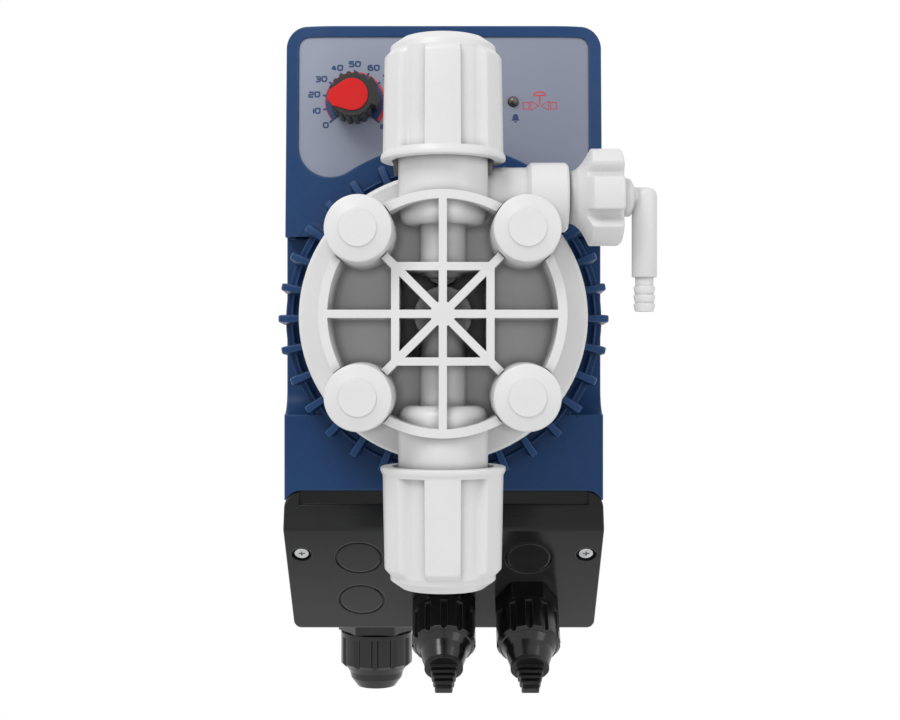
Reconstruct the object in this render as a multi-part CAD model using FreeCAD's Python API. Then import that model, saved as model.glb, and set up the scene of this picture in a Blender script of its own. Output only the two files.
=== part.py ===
import FreeCAD
import Part
import math
import os

os.makedirs("parts", exist_ok=True)
V = FreeCAD.Vector

# The pump hangs on a wall bracket. X runs to the right as seen from the front, Y runs into the
# wall and Z runs up. The origin is the centre of the bracket's four wall screws, on the wall.
# Heights are measured from that centre. Depths follow each other from the wall to the front.

# Case
case_width = 107.0
case_top = 104.5
case_bottom = -104.5
case_wall = 3.0
top_corner_r = 7.0
bottom_corner_r = 3.0
seam = 0.1
parting_z = -52.3
parting_corner_r = 5.5
parting_horn = 3.2
case_depth = 103.0

# Front face of the case, as steps out from the channel floor
panel_rise_top = 1.4
panel_rise_bottom = 6.0
panel_bulge = 3.5
panel_flat_margin = 16.5
channel_top_z = 33.0
channel_bottom_z = -26.9
lower_rise = 8.6
channel_fillet = 8.5

# Rear cover and wall bracket
bracket_thickness = 3.0
bracket_standoff = 5.0
bracket_half_width = 42.0
bracket_top = 84.0
bracket_bottom = -84.0
bracket_corner_r = 6.0
bracket_rail_width = 5.0
wall_screw_spacing_x = 70.0
wall_screw_spacing_z = 120.0
wall_screw_hole_r = 2.6
hook_x = 24.0
hook_z = 62.0
hook_width = 8.0
hook_thickness = 4.0
hook_tip = 6.0
hook_gap = 0.5
rear_cover_thickness = 4.0
rim_height = 3.0
rim_thickness = 2.0
rim_gap = 0.2
rim_corner_r = 1.5
rim_inner_corner_r = 0.5

# Screws that hold the case together, in the corners of the channel
case_screw_inset = 9.7
case_screw_z = 23.6
case_screw_r = 1.6
case_screw_head_r = 3.3
case_screw_head_height = 2.4
case_screw_recess_r = 4.0
case_screw_recess_depth = 4.0
screw_column_r = 5.2
rear_boss_height = 8.0
cover_skin = 1.0
case_screw_end_gap = 1.0
screw_gap = 0.15

# Control panel
overlay_side_margin = 4.3
overlay_top = 100.8
overlay_top_r = 3.5
overlay_lobe_r = 11.0
overlay_arch_r = 59.2
overlay_thickness = 0.7
overlay_recess = 0.5
dial_x = -30.1
dial_z = 78.7
led_x = 23.4
led_z = 78.7
led_r = 1.65
led_rise = 1.4
board_gap = 12.0
board_thickness = 1.6
board_side_margin = 8.5
board_top = 97.0
board_bottom = 61.0
post_inset = 12.5
post_r = 3.2

# Stroke knob with its pointer, on the shaft of a potentiometer
knob_r = 7.0
knob_rib_r = 0.9
knob_ribs = 18
knob_height = 12.6
knob_gap = 0.9
knob_tail_r = 8.7
knob_tail_half_angle = 34.0
knob_tail_height = 10.3
knob_nose_height = 7.6
knob_rib_set_back = 1.2
knob_roof = 4.0
pointer_r = 5.3
pointer_reach = 8.3
pointer_tip_half = 2.9
pointer_tip_round = 0.9
pointer_waist_r = 2.9
pointer_thickness = 1.0
pointer_recess = 0.6
pointer_direction = 189.0
pot_half = 8.5
pot_depth = 8.0
pot_bush_r = 3.5
pot_bush_gap = 0.4
pot_floor = 2.0
shaft_r = 3.0
shaft_end_gap = 0.3
shaft_grip_gap = 0.02
running_gap = 0.06

# Solenoid drive on the head axis
head_z = 5.0
stroke = 1.25
drum_seat_rise = 8.0
drum_seat_margin = 0.5
drum_depth = 14.5
drum_side_margin = 0.9
drum_taper = 3.1
drum_wall = 3.5
drum_recess_gap = 1.5
fin_overhang = 0.5
fin_thickness = 2.2
fin_corner_r = 3.0
fin_count = 32
yoke_flange_step = 5.5
yoke_wall = 4.0
yoke_flange_gap = 2.0
yoke_flange_thickness = 6.0
yoke_gap = 0.5
coil_length = 54.0
coil_bore_r = 15.5
bobbin_flange = 2.0
bobbin_wall = 2.4
coil_gap = 0.3
core_length = 34.0
bush_r = 6.0
bush_length = 14.0
rod_r = 4.0
rod_gap = 0.05
rod_passage_gap = 0.4
rod_lead = 1.5
rod_seat_depth = 24.0
spring_mean_r = 6.7
spring_wire_r = 0.7
spring_turns = 5.0
spring_pocket_r = 8.4
spring_pocket_depth = 6.5
air_gap = 1.6
stop_r = 19.0
stop_wall = 3.0
stop_pocket = 5.0

# Diaphragm and its metal core, between the backing flange and the head
flange_r = 43.0
flange_thickness = 5.5
flange_dish_r = 24.6
flange_dish_depth = 1.3
flange_passage_gap = 0.6
drain_r = 1.8
diaphragm_r = 38.0
diaphragm_thickness = 2.0
diaphragm_web = 1.0
diaphragm_web_r = 24.0
diaphragm_centre_r = 15.0
diaphragm_centre_front = 3.0
diaphragm_centre_back = 0.6
diaphragm_taper = 2.0
insert_r = 9.0
insert_thickness = 1.3
insert_stud_r = 3.0
insert_stud_length = 9.0
insert_stud_end_gap = 1.0
insert_cover = 1.1
insert_gap = 0.1

# Pump head
head_r = 45.4
head_plate = 12.5
head_edge_r = 1.2
ring_outer_r = 36.5
ring_wall = 2.7
ring_rise = 29.9
pocket_rise = 8.5
pocket_lap = 0.5
centre_pocket_rise = 2.5
lattice_half = 13.95
rib_width = 2.4
hub_r = 3.7
centre_boss_r = 8.6
centre_boss_rise = 18.0
chamber_depth = 4.6
chamber_step = 1.0
chamber_taper = 1.0
valve_axis_rise = 14.5
channel_tube_r = 6.85
upper_tube_start = 11.0
upper_tube_round = 4.1
neck_r = 13.6
neck_start = 27.3
neck_end = 62.0
neck_round = 3.6
channel_bore_r = 2.2
discharge_port = 14.0
discharge_port_r = 4.8
corner_spacing = 24.4
cap_boss_rise = 17.5
cap_base_r = 10.3
cap_seat_gap = 0.01

# Head screws and their caps
head_screw_r = 2.5
head_screw_hole_gap = 0.25
head_screw_head_r = 4.25
head_screw_head_height = 5.0
head_screw_socket_r = 2.3
head_screw_seat_rise = 4.5
cap_counterbore_r = 5.0
cap_length = 21.6
cap_front_r = 9.7
cap_face_r = 5.35
cap_face_rise = 0.6
cap_round = 1.2
cap_step = 0.5
cap_wall = 2.6

# Valve cartridges, one in each neck
cartridge_length = 31.0
cartridge_r = 10.0
cartridge_gap = 0.15
seat_height = 8.0
seat_hole_r = 2.4
seat_cone_r = 4.4
ball_r = 4.0
ball_seat_gap = 0.2
ball_travel = 1.5
ball_stop_gap = 0.3
cage_bore_gap = 0.4
cage_slot_r = 7.5
cage_slot_width = 2.2
cage_roof_hole_r = 2.5
cage_roof = 3.0
cage_foot = 1.0

# Union nuts and hose nipples, one at each end
nut_start = 46.2
nut_end = 84.3
nut_rim_r = 18.95
nut_rim_height = 2.3
nut_r = 18.2
nut_outer_r = 17.7
nut_shoulder = 77.6
nut_chamfer_r = 15.5
nut_chamfer_end = 80.0
nut_face_r = 11.6
nut_lobes = 5
nut_lobe_half_angle = 17.0
nut_flute_r = 16.4
nut_flute_start = 49.4
nut_flute_corner_r = 2.4
nut_thread_gap = 0.15
nipple_flange = 3.0
nipple_shoulder_r = 7.5
nipple_shoulder = 4.0
nipple_r = 2.0
nipple_reach = 17.0
nipple_bore_r = 1.3
hose_cavity_r = 8.2
hose_cavity_end = 75.5
hose_relief_r = 3.6
hose_relief_end = 79.5
hose_cone_step = 1.5
hose_hole_r = 3.15

# Bleed valve on a branch of the upper neck
bleed_axis_rise = 6.5
bleed_z = 41.6
branch_r = 9.2
collar_start = 24.9
collar_end = 38.3
collar_r = 10.7
collar_chamfer = 2.0
collar_round = 0.8
stem_r = 3.5
stem_start = 20.0
stem_bore_r = 1.2
star_gap = 0.3
star_waist_r = 8.0
star_flare_r = 13.4
star_flare_length = 6.2
star_length = 10.0
star_lobe_r = 15.1
star_valley_r = 11.6
star_lobe_half = 5.0
star_lobes = 6
star_lobe_corner_r = 1.4
star_flare_middle_r = 9.5
star_flare_middle = 4.1
elbow_hub_r = 5.9
elbow_hub_length = 3.4
elbow_tube_r = 3.95
elbow_offset = 7.0
elbow_drop = 24.7
elbow_neck_r = 3.0
barb_r = 3.35
barb_length = 3.5
barb_count = 3
barb_lead = 0.2
barb_peak = 2.8
elbow_bore_r = 1.4

# Sloping face of the terminal box and what is on it
hood_lean = 1.1
lip_lean = 5.6
lip_drop = 12.7
slope_angle = 42.0
slope_foot_r = 2.0
lip_r = 1.2
hood_band_height = 4.7
hood_band_depth = 1.0
hood_band_margin = 5.0
knockout_pitch = 28.9
knockout_upper_t = 14.7
knockout_lower_t = 37.2
knockout_r = 8.1
knockout_groove = 0.8
knockout_depth = 0.6
box_screw_inset = 5.2
box_screw_t = 13.0
box_screw_r = 1.5
box_screw_head_r = 2.4
box_screw_pocket_r = 3.4
box_screw_pocket_depth = 2.0
box_screw_head_height = 1.4
box_screw_length = 9.0
box_post_wall = 1.6
box_post_depth = 12.0

# Signal glands on the slope, each closed by a plug
signal_thread_r = 7.9
signal_thread_length = 8.0
signal_hex_flats = 19.0
signal_hex_length = 6.7
signal_nut_r = 10.9
signal_nut_length = 13.3
signal_dome_r = 8.0
signal_dome_length = 7.6
signal_bore_r = 4.8
signal_mouth_r = 5.4
plug_shank_r = 4.6
plug_collar_r = 6.5
plug_collar_length = 1.4
plug_wedge_width = 9.4
plug_tip_width = 5.0
plug_wedge_length = 8.6
plug_wedge_thickness = 5.4
plug_core_thickness = 2.16
plug_slat = 1.0
plug_slat_pitch = 2.2
plug_slats = 4

# Power cable gland under the case
power_x = -25.8
power_y = -60.0
power_thread_r = 9.9
power_thread_length = 9.0
power_hex_flats = 25.0
power_hex_length = 6.5
power_nut_r = 13.5
power_nut_length = 12.6
power_dome_r = 10.2
power_dome_length = 8.0
power_bore_r = 6.5
power_mouth_r = 6.2
power_seal_bore_r = 4.2
power_seal_r = 8.0
power_seal_rise = 4.4
gland_flutes = 12
gland_flute_share = 0.11
gland_flute_offset_share = 0.35
gland_flute_start = 1.5
gland_edge = 1.0
gland_dome_foot_share = 0.3
gland_dome_top_share = 0.6
gland_dome_draft = 0.6
gland_dome_wall = 1.6
gland_mouth_wall = 1.0
gland_gap = 0.3
gland_thread_gap = 0.15
gland_spigot_length = 9.0

# Widths worked out from the case
case_half = case_width / 2
panel_flat_half = case_half - panel_flat_margin
case_screw_x = case_half - case_screw_inset
overlay_half_width = case_half - overlay_side_margin
board_half_width = case_half - board_side_margin
post_x = case_half - post_inset
hood_band_half = case_half - hood_band_margin
box_screw_x = case_half - box_screw_inset
drum_seat_r = case_half - drum_seat_margin
drum_base_r = case_half - drum_side_margin
drum_front_r = drum_base_r - drum_taper
drum_recess_r = case_half + drum_recess_gap
fin_tip_r = case_half + fin_overhang
yoke_flange_r = drum_front_r - drum_wall - yoke_flange_gap
yoke_r = yoke_flange_r - yoke_flange_step

# Depths worked out from the values above, all negative because they lie in front of the wall
bracket_front_y = -bracket_thickness
cover_back_y = bracket_front_y - bracket_standoff
case_rear_y = cover_back_y - rear_cover_thickness
channel_y = case_rear_y - case_depth
lower_front_y = channel_y - lower_rise
panel_top_y = channel_y - panel_rise_top
panel_bottom_y = channel_y - panel_rise_bottom
drum_seat_y = channel_y - drum_seat_rise
drum_front_y = drum_seat_y - drum_depth
flange_front_y = drum_front_y - flange_thickness
head_front_y = flange_front_y - head_plate
ring_front_y = head_front_y - ring_rise
pocket_y = head_front_y - pocket_rise
centre_pocket_y = head_front_y - centre_pocket_rise
valve_y = head_front_y - valve_axis_rise
bleed_y = head_front_y - bleed_axis_rise
cap_base_y = head_front_y - cap_boss_rise

# Reach of cutting shapes: right past the part, and just past a face
far = 400.0
overcut = 3.0

# How near an edge's middle must be to a place to be taken as lying there
seam_search = 0.01


def box(x0, x1, y0, y1, z0, z1):
    """Upright block between two corners."""
    return Part.makeBox(x1 - x0, y1 - y0, z1 - z0, V(x0, y0, z0))


def bar(r, start, end):
    """Round bar from one point to another."""
    start = V(*start)
    run = V(*end) - start
    return Part.makeCylinder(r, run.Length, start, run)


def axial(r, y0, y1, x=0.0, z=head_z):
    """Round bar along the depth of the pump."""
    return bar(r, (x, y0, z), (x, y1, z))


def placed(shape, origin, axis):
    """Take a shape drawn along +Z to an origin and an axis."""
    copy = shape.copy()
    turn = FreeCAD.Rotation(V(0, 0, 1), V(*axis))
    copy.Placement = FreeCAD.Placement(V(*origin), turn).multiply(copy.Placement)
    return copy


def turned(profile, origin=(0, 0, 0), axis=(0, 0, 1)):
    """Lathe shape from (radius, height) points, drawn along +Z and then placed."""
    points = [V(r, 0, h) for r, h in profile]
    face = Part.Face(Part.makePolygon(points + [points[0]]))
    solid = Part.Solid(face.revolve(V(0, 0, 0), V(0, 0, 1), 360).Shells[0])
    if solid.Volume < 0:
        solid.reverse()
    return placed(solid, origin, axis)


def outline(corners, at):
    """Closed wire through (u, v, radius) corners, where at(u, v) gives the point in space."""
    edges = []
    ends = []
    count = len(corners)
    for i, (u, v, r) in enumerate(corners):
        here = V(u, v, 0)
        back = V(*corners[i - 1][:2], 0) - here
        on = V(*corners[(i + 1) % count][:2], 0) - here
        back.normalize()
        on.normalize()
        if r == 0:
            ends.append((here, None, here))
            continue
        half = math.acos(max(-1.0, min(1.0, back.dot(on)))) / 2
        cut = r / math.tan(half)
        middle = back + on
        middle.normalize()
        ends.append((here + back * cut, here + middle * (r / math.sin(half) - r), here + on * cut))
    for i, (first, middle, last) in enumerate(ends):
        if middle is not None:
            arc = [at(p.x, p.y) for p in (first, middle, last)]
            edges.append(Part.Arc(*arc).toShape())
        following = ends[(i + 1) % count][0]
        if (following - last).Length > 1e-6:
            edges.append(Part.LineSegment(at(last.x, last.y), at(following.x, following.y)).toShape())
    return Part.Wire(edges)


def front_prism(corners, y0, y1):
    """Outline seen from the front, (x, z, radius), made solid between two depths."""
    face = Part.Face(outline(corners, lambda u, v: V(u, y0, v)))
    return face.extrude(V(0, y1 - y0, 0))


def side_prism(corners, x0, x1):
    """Outline seen from the side, (y, z, radius), made solid across the width."""
    face = Part.Face(outline(corners, lambda u, v: V(x0, u, v)))
    return face.extrude(V(x1 - x0, 0, 0))


def flat_prism(corners, z0, z1):
    """Outline in the level plane, (x, y, radius), made solid upward."""
    face = Part.Face(outline(corners, lambda u, v: V(u, v, z0)))
    return face.extrude(V(0, 0, z1 - z0))


def rectangle(u0, u1, v0, v1, low_r=0.0, high_r=0.0):
    """Corners of a rectangle with rounded lower and upper corners."""
    return [(u0, v0, low_r), (u1, v0, low_r), (u1, v1, high_r), (u0, v1, high_r)]


def union(shapes):
    """One solid from several that touch."""
    return shapes[0].multiFuse(list(shapes[1:])).removeSplitter()


def around(shape, centre, axis, angle):
    """Copy turned about an axis through a point."""
    copy = shape.copy()
    copy.rotate(V(*centre), V(*axis), angle)
    return copy


def shifted(shape, x=0.0, y=0.0, z=0.0):
    """Copy moved along the axes."""
    copy = shape.copy()
    copy.translate(V(x, y, z))
    return copy


def save(name, shape):
    """Write one sub-part."""
    solids = shape.Solids
    result = solids[0] if len(solids) == 1 else Part.Compound(solids)
    result.exportStep(os.path.join("parts", name + ".step"))


# Case front
def panel_edge_y(z):
    """Depth of the panel's side edge at a height: the face leans back towards the top."""
    share = (z - channel_top_z) / (case_top - channel_top_z)
    return panel_bottom_y + (panel_top_y - panel_bottom_y) * share


def panel_section(z, rear_y):
    """Level section of the bulged panel: flat in the middle, curving back to both sides."""
    edge_y = panel_edge_y(z)
    middle_y = edge_y - panel_bulge
    reach = case_half - panel_flat_half
    r = (reach ** 2 + panel_bulge ** 2) / (2 * panel_bulge)
    half_turn = math.asin(reach / r) / 2
    arc_x = panel_flat_half + r * math.sin(half_turn)
    arc_y = middle_y + r * (1 - math.cos(half_turn))
    right = Part.Arc(V(case_half, edge_y, z), V(arc_x, arc_y, z), V(panel_flat_half, middle_y, z))
    left = Part.Arc(V(-panel_flat_half, middle_y, z), V(-arc_x, arc_y, z), V(-case_half, edge_y, z))
    return Part.Wire([
        Part.LineSegment(V(case_half, rear_y, z), V(case_half, edge_y, z)).toShape(),
        right.toShape(),
        Part.LineSegment(V(panel_flat_half, middle_y, z), V(-panel_flat_half, middle_y, z)).toShape(),
        left.toShape(),
        Part.LineSegment(V(-case_half, edge_y, z), V(-case_half, rear_y, z)).toShape(),
        Part.LineSegment(V(-case_half, rear_y, z), V(case_half, rear_y, z)).toShape(),
    ])


def case_mass():
    """Full block of the blue front, before it is hollowed."""
    sections = [panel_section(channel_top_z, case_rear_y), panel_section(case_top, case_rear_y)]
    upper = Part.makeLoft(sections, True, True)
    low_z = parting_z - parting_horn
    lower = side_prism([
        (case_rear_y, low_z, 0),
        (lower_front_y, low_z, 0),
        (lower_front_y, channel_bottom_z, 0),
        (channel_y, channel_bottom_z, channel_fillet),
        (channel_y, channel_top_z, 0),
        (case_rear_y, channel_top_z, 0),
    ], -case_half, case_half)
    frame = rectangle(-case_half, case_half, low_z, case_top, 0, top_corner_r)
    return union([upper, lower]).common(front_prism(frame, -far, 0))


def terminal_outline(top_z):
    """Front view of the terminal box."""
    return rectangle(-case_half, case_half, case_bottom, top_z, bottom_corner_r, parting_corner_r)


def overlay_outline():
    """Front view of the panel film: its lower edge is an arch about the head axis."""
    centre_x = overlay_half_width - overlay_lobe_r
    centre_z = head_z + math.sqrt((overlay_arch_r + overlay_lobe_r) ** 2 - centre_x ** 2)
    to_axis = V(-centre_x, 0, head_z - centre_z)
    to_axis.normalize()
    lobe = V(centre_x, 0, centre_z)
    meet = lobe + to_axis * overlay_lobe_r
    between = to_axis + V(1, 0, 0)
    between.normalize()
    low = lobe + between * overlay_lobe_r

    def mirrored(p):
        return V(-p.x, p.y, p.z)

    side = V(overlay_half_width, 0, centre_z)
    top_side = V(overlay_half_width, 0, overlay_top - overlay_top_r)
    diagonal = overlay_top_r * (1 - math.sqrt(0.5))
    top_round = V(overlay_half_width - diagonal, 0, overlay_top - diagonal)
    top_start = V(overlay_half_width - overlay_top_r, 0, overlay_top)
    return Part.Wire([
        Part.Arc(mirrored(meet), V(0, 0, head_z + overlay_arch_r), meet).toShape(),
        Part.Arc(meet, low, side).toShape(),
        Part.LineSegment(side, top_side).toShape(),
        Part.Arc(top_side, top_round, top_start).toShape(),
        Part.LineSegment(top_start, mirrored(top_start)).toShape(),
        Part.Arc(mirrored(top_start), mirrored(top_round), mirrored(top_side)).toShape(),
        Part.LineSegment(mirrored(top_side), mirrored(side)).toShape(),
        Part.Arc(mirrored(side), mirrored(low), mirrored(meet)).toShape(),
    ])


def edges_at(shape, axis, place):
    """Edges of a shape whose middle lies at one place along an axis."""
    return [e for e in shape.Edges if abs(getattr(e.CenterOfMass, axis) - place) < seam_search]


def each_corner(dx, dz):
    """The four places mirrored about the head axis."""
    return [(sx * dx, head_z + sz * dz) for sx in (-1, 1) for sz in (-1, 1)]


mass = case_mass()
overlay_prism = shifted(Part.Face(overlay_outline()).extrude(V(0, far, 0)), y=-far)
panel_y = panel_edge_y(dial_z) - panel_bulge
overlay_y = panel_y + overlay_recess
board_front_y = panel_y + case_wall + board_gap
pot_front_y = board_front_y - pot_depth
recess_depth = overlay_recess + overlay_thickness

inner_box = box(-case_half + case_wall, case_half - case_wall, -far, 0, case_bottom, case_top - case_wall)
cavity = shifted(mass, y=case_wall).common(inner_box)
open_back = box(-case_half + case_wall, case_half - case_wall, case_rear_y - case_wall, 0,
                parting_z - parting_horn, case_top - case_wall)
open_base = box(-case_half + case_wall, case_half - case_wall, lower_front_y + case_wall, case_rear_y,
                case_bottom, parting_z + case_wall)
shell = mass.cut(cavity).cut(open_back).cut(open_base)
shell = shell.cut(front_prism(terminal_outline(parting_z), -far, 0))
seat = axial(drum_seat_r, channel_y + case_wall, drum_seat_y)
columns = [axial(screw_column_r, channel_y, case_rear_y - rear_boss_height, x, z)
           for x, z in each_corner(case_screw_x, case_screw_z)]
posts = [axial(post_r, panel_edge_y(z) - panel_bulge + case_wall / 2, board_front_y, sx * post_x, z)
         for sx in (-1, 1) for z in (board_bottom + post_r, board_top - post_r)]
case_front = union([shell, seat] + columns + posts)
yoke_hole = axial(yoke_r + yoke_gap, 0, -far)
drum_recess = axial(drum_recess_r, drum_seat_y, -far)
film_pocket = overlay_prism.common(mass).cut(shifted(mass, y=recess_depth))
case_front = case_front.cut(yoke_hole).cut(drum_recess).cut(film_pocket)
for x, z in each_corner(case_screw_x, case_screw_z):
    case_front = case_front.cut(axial(case_screw_recess_r, -far, channel_y + case_screw_recess_depth, x, z)
                                .common(box(-far, far, channel_y, far, -far, far)))
    case_front = case_front.cut(axial(case_screw_r + screw_gap, channel_y, case_rear_y, x, z))
case_front = case_front.cut(axial(pot_bush_r + screw_gap, -far, board_front_y, dial_x, dial_z))
case_front = case_front.cut(axial(led_r + screw_gap, -far, board_front_y, led_x, led_z))
save("front_housing", case_front)

film = overlay_prism.common(shifted(mass, y=overlay_recess)).cut(shifted(mass, y=recess_depth))
film = film.cut(axial(pot_bush_r + screw_gap, -far, 0, dial_x, dial_z))
film = film.cut(axial(led_r + screw_gap, -far, 0, led_x, led_z))
save("panel_overlay", film)

# Terminal box, a hollow black moulding with a hood, a lip and a sloping gland face
hood_y = lower_front_y + hood_lean
lip_y = hood_y - lip_lean + hood_lean
lip_z = parting_z - lip_drop
slope = math.radians(slope_angle)
down = V(0, math.sin(slope), -math.cos(slope))
outward = V(0, -math.cos(slope), -math.sin(slope))
lip = V(0, lip_y, lip_z)


def on_slope(x, t, lift=0.0):
    """Point on the sloping face, t down from the lip."""
    return lip + down * t + outward * lift + V(x, 0, 0)


def slope_bar(r, x, t, low, high):
    """Round bar square to the sloping face."""
    return bar(r, tuple(on_slope(x, t, low)), tuple(on_slope(x, t, high)))


slope_foot_y = lip_y + (lip_z - case_bottom) * math.tan(slope)
inset = case_wall / math.cos(slope)
box_top_z = parting_z - seam
outer = side_prism([
    (case_rear_y, case_bottom, 0),
    (slope_foot_y, case_bottom, slope_foot_r),
    (lip_y, lip_z, lip_r),
    (hood_y, box_top_z, 0),
    (case_rear_y, box_top_z, 0),
], -case_half, case_half)
outer = outer.common(front_prism(terminal_outline(box_top_z), -far, 0))
hollow = side_prism([
    (case_rear_y, case_bottom + case_wall, 0),
    (slope_foot_y + case_wall, case_bottom + case_wall, 0),
    (lip_y + inset, lip_z + case_wall / 2, 0),
    (hood_y + case_wall, box_top_z, 0),
    (case_rear_y, box_top_z, 0),
], -case_half + case_wall, case_half - case_wall)
terminal_box = outer.cut(hollow)
band_base_z = box_top_z - hood_band_height
band = box(-hood_band_half, hood_band_half, -far, hood_y + hood_band_depth, band_base_z, box_top_z)
terminal_box = terminal_box.cut(band)
post_outer_r = box_screw_pocket_r + box_post_wall
screw_posts = [slope_bar(post_outer_r, sx * box_screw_x, box_screw_t, -box_post_depth, -case_wall)
               for sx in (-1, 1)]
side_limit = box(-case_half + case_wall, case_half - case_wall, -far, 0, -far, 0)
terminal_box = union([terminal_box] + [post.common(side_limit) for post in screw_posts])
for sx in (-1, 1):
    x = sx * box_screw_x
    pocket = slope_bar(box_screw_pocket_r, x, box_screw_t, -box_screw_pocket_depth, overcut)
    hole = slope_bar(box_screw_r + screw_gap / 2, x, box_screw_t, -box_post_depth, 0)
    terminal_box = terminal_box.cut(pocket).cut(hole)
closed_knockouts = [
    (-1, knockout_upper_t),
    (0, knockout_upper_t),
    (1, knockout_upper_t),
    (-1, knockout_lower_t),
]
for column, t in closed_knockouts:
    x = column * knockout_pitch
    groove = slope_bar(knockout_r, x, t, -knockout_depth, overcut)
    disc = slope_bar(knockout_r - knockout_groove, x, t, -knockout_depth, overcut)
    terminal_box = terminal_box.cut(groove.cut(disc))
signal_hole_r = signal_thread_r + gland_thread_gap
for column in (0, 1):
    x = column * knockout_pitch
    hole = slope_bar(signal_hole_r, x, knockout_lower_t, -case_wall * 2, overcut)
    terminal_box = terminal_box.cut(hole)
power_inside = (power_x, power_y, case_bottom + case_wall)
power_origin = (power_x, power_y, case_bottom)
terminal_box = terminal_box.cut(bar(power_thread_r + gland_thread_gap, power_inside, power_origin))
save("terminal_box", terminal_box)

for name, sx in (("terminal_screw_left", -1), ("terminal_screw_right", 1)):
    x = sx * box_screw_x
    seat_lift = -box_screw_pocket_depth
    head = slope_bar(box_screw_head_r, x, box_screw_t, seat_lift, seat_lift + box_screw_head_height)
    shank = slope_bar(box_screw_r, x, box_screw_t, seat_lift - box_screw_length, seat_lift)
    save(name, union([head, shank]))

# Rear cover: a lid with a locating rim, bosses for the case screws and slots for the hooks
lid = rectangle(-case_half, case_half, case_bottom, case_top, bottom_corner_r, top_corner_r)
rim_inset = case_wall + rim_gap
rim_outer = rectangle(-case_half + rim_inset, case_half - rim_inset,
                      case_bottom + rim_inset, case_top - rim_inset,
                      rim_corner_r, top_corner_r - rim_inset)
rim_in = rim_inset + rim_thickness
rim_inner = rectangle(-case_half + rim_in, case_half - rim_in,
                      case_bottom + rim_in, case_top - rim_in,
                      rim_inner_corner_r, rim_corner_r)
rim_front_y = case_rear_y - rim_height
rim = front_prism(rim_outer, rim_front_y, case_rear_y)
rim = rim.cut(front_prism(rim_inner, rim_front_y, case_rear_y))
boss_front_y = case_rear_y - rear_boss_height
bosses = [axial(screw_column_r, boss_front_y, case_rear_y, x, z)
          for x, z in each_corner(case_screw_x, case_screw_z)]
rear_cover = union([front_prism(lid, case_rear_y, cover_back_y), rim] + bosses)
for x, z in each_corner(case_screw_x, case_screw_z):
    hole = axial(case_screw_r + screw_gap / 3, boss_front_y, cover_back_y - cover_skin, x, z)
    rear_cover = rear_cover.cut(hole)
slot_half = hook_width / 2 + hook_gap
slot_base_z = hook_z - hook_gap
slot_top_z = hook_z + hook_thickness + hook_tip + hook_gap
for sx in (-1, 1):
    x = sx * hook_x
    slot = box(x - slot_half, x + slot_half, case_rear_y, cover_back_y, slot_base_z, slot_top_z)
    rear_cover = rear_cover.cut(slot)
save("rear_cover", rear_cover)

for i, (x, z) in enumerate(each_corner(case_screw_x, case_screw_z)):
    seat_y = channel_y + case_screw_recess_depth
    head = axial(case_screw_head_r, seat_y - case_screw_head_height, seat_y, x, z)
    shank = axial(case_screw_r, seat_y, cover_back_y - cover_skin - case_screw_end_gap, x, z)
    save("case_screw_%d" % (i + 1), union([head, shank]))

# Wall bracket: a plate with two rails that carry the rear cover and two hooks
plate_outline = rectangle(-bracket_half_width, bracket_half_width, bracket_bottom, bracket_top,
                          bracket_corner_r, bracket_corner_r)
plate = front_prism(plate_outline, bracket_front_y, 0)
rail_x = bracket_half_width - bracket_rail_width
rails = [box(x, x + bracket_rail_width, cover_back_y, bracket_front_y,
             bracket_bottom + bracket_corner_r, bracket_top - bracket_corner_r)
         for x in (-bracket_half_width, rail_x)]
hooks = []
for sx in (-1, 1):
    left = sx * hook_x - hook_width / 2
    tip_y = case_rear_y - hook_gap - hook_thickness / 2
    hooks.append(box(left, left + hook_width, tip_y, bracket_front_y, hook_z, hook_z + hook_thickness))
    hooks.append(box(left, left + hook_width, tip_y, case_rear_y - hook_gap,
                     hook_z + hook_thickness, hook_z + hook_thickness + hook_tip))
bracket = union([plate] + rails + hooks)
for sx in (-1, 1):
    for sz in (-1, 1):
        x = sx * wall_screw_spacing_x / 2
        z = sz * wall_screw_spacing_z / 2
        bracket = bracket.cut(axial(wall_screw_hole_r, bracket_front_y, 0, x, z))
save("wall_bracket", bracket)

# Control board, indicator lens and potentiometer behind the panel
board = box(-board_half_width, board_half_width, board_front_y, board_front_y + board_thickness,
            board_bottom, board_top)
save("control_board", board)
led_tip_y = panel_y - led_rise
lens = axial(led_r, led_tip_y + led_r, board_front_y, led_x, led_z)
dome = Part.makeSphere(led_r, V(led_x, led_tip_y + led_r, led_z))
save("led_lens", union([lens, dome]))

knob_back_y = overlay_y - knob_gap
pot = box(dial_x - pot_half, dial_x + pot_half, pot_front_y, board_front_y,
          dial_z - pot_half, dial_z + pot_half)
pot = pot.fuse(axial(pot_bush_r, knob_back_y + pot_bush_gap, pot_front_y, dial_x, dial_z))
pot = pot.cut(axial(shaft_r + running_gap, -far, board_front_y - pot_floor, dial_x, dial_z))
save("potentiometer", pot)
knob_front_y = knob_back_y - knob_height
shaft_end_y = board_front_y - pot_floor - shaft_end_gap
shaft_tip_y = knob_front_y + knob_roof
save("knob_shaft", axial(shaft_r, shaft_tip_y, shaft_end_y, dial_x, dial_z))


def dial_point(r, angle):
    """Place on the knob, by radius and angle from +X as seen from the front."""
    turn = math.radians(angle)
    return (dial_x + r * math.cos(turn), dial_z + r * math.sin(turn))


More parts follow.
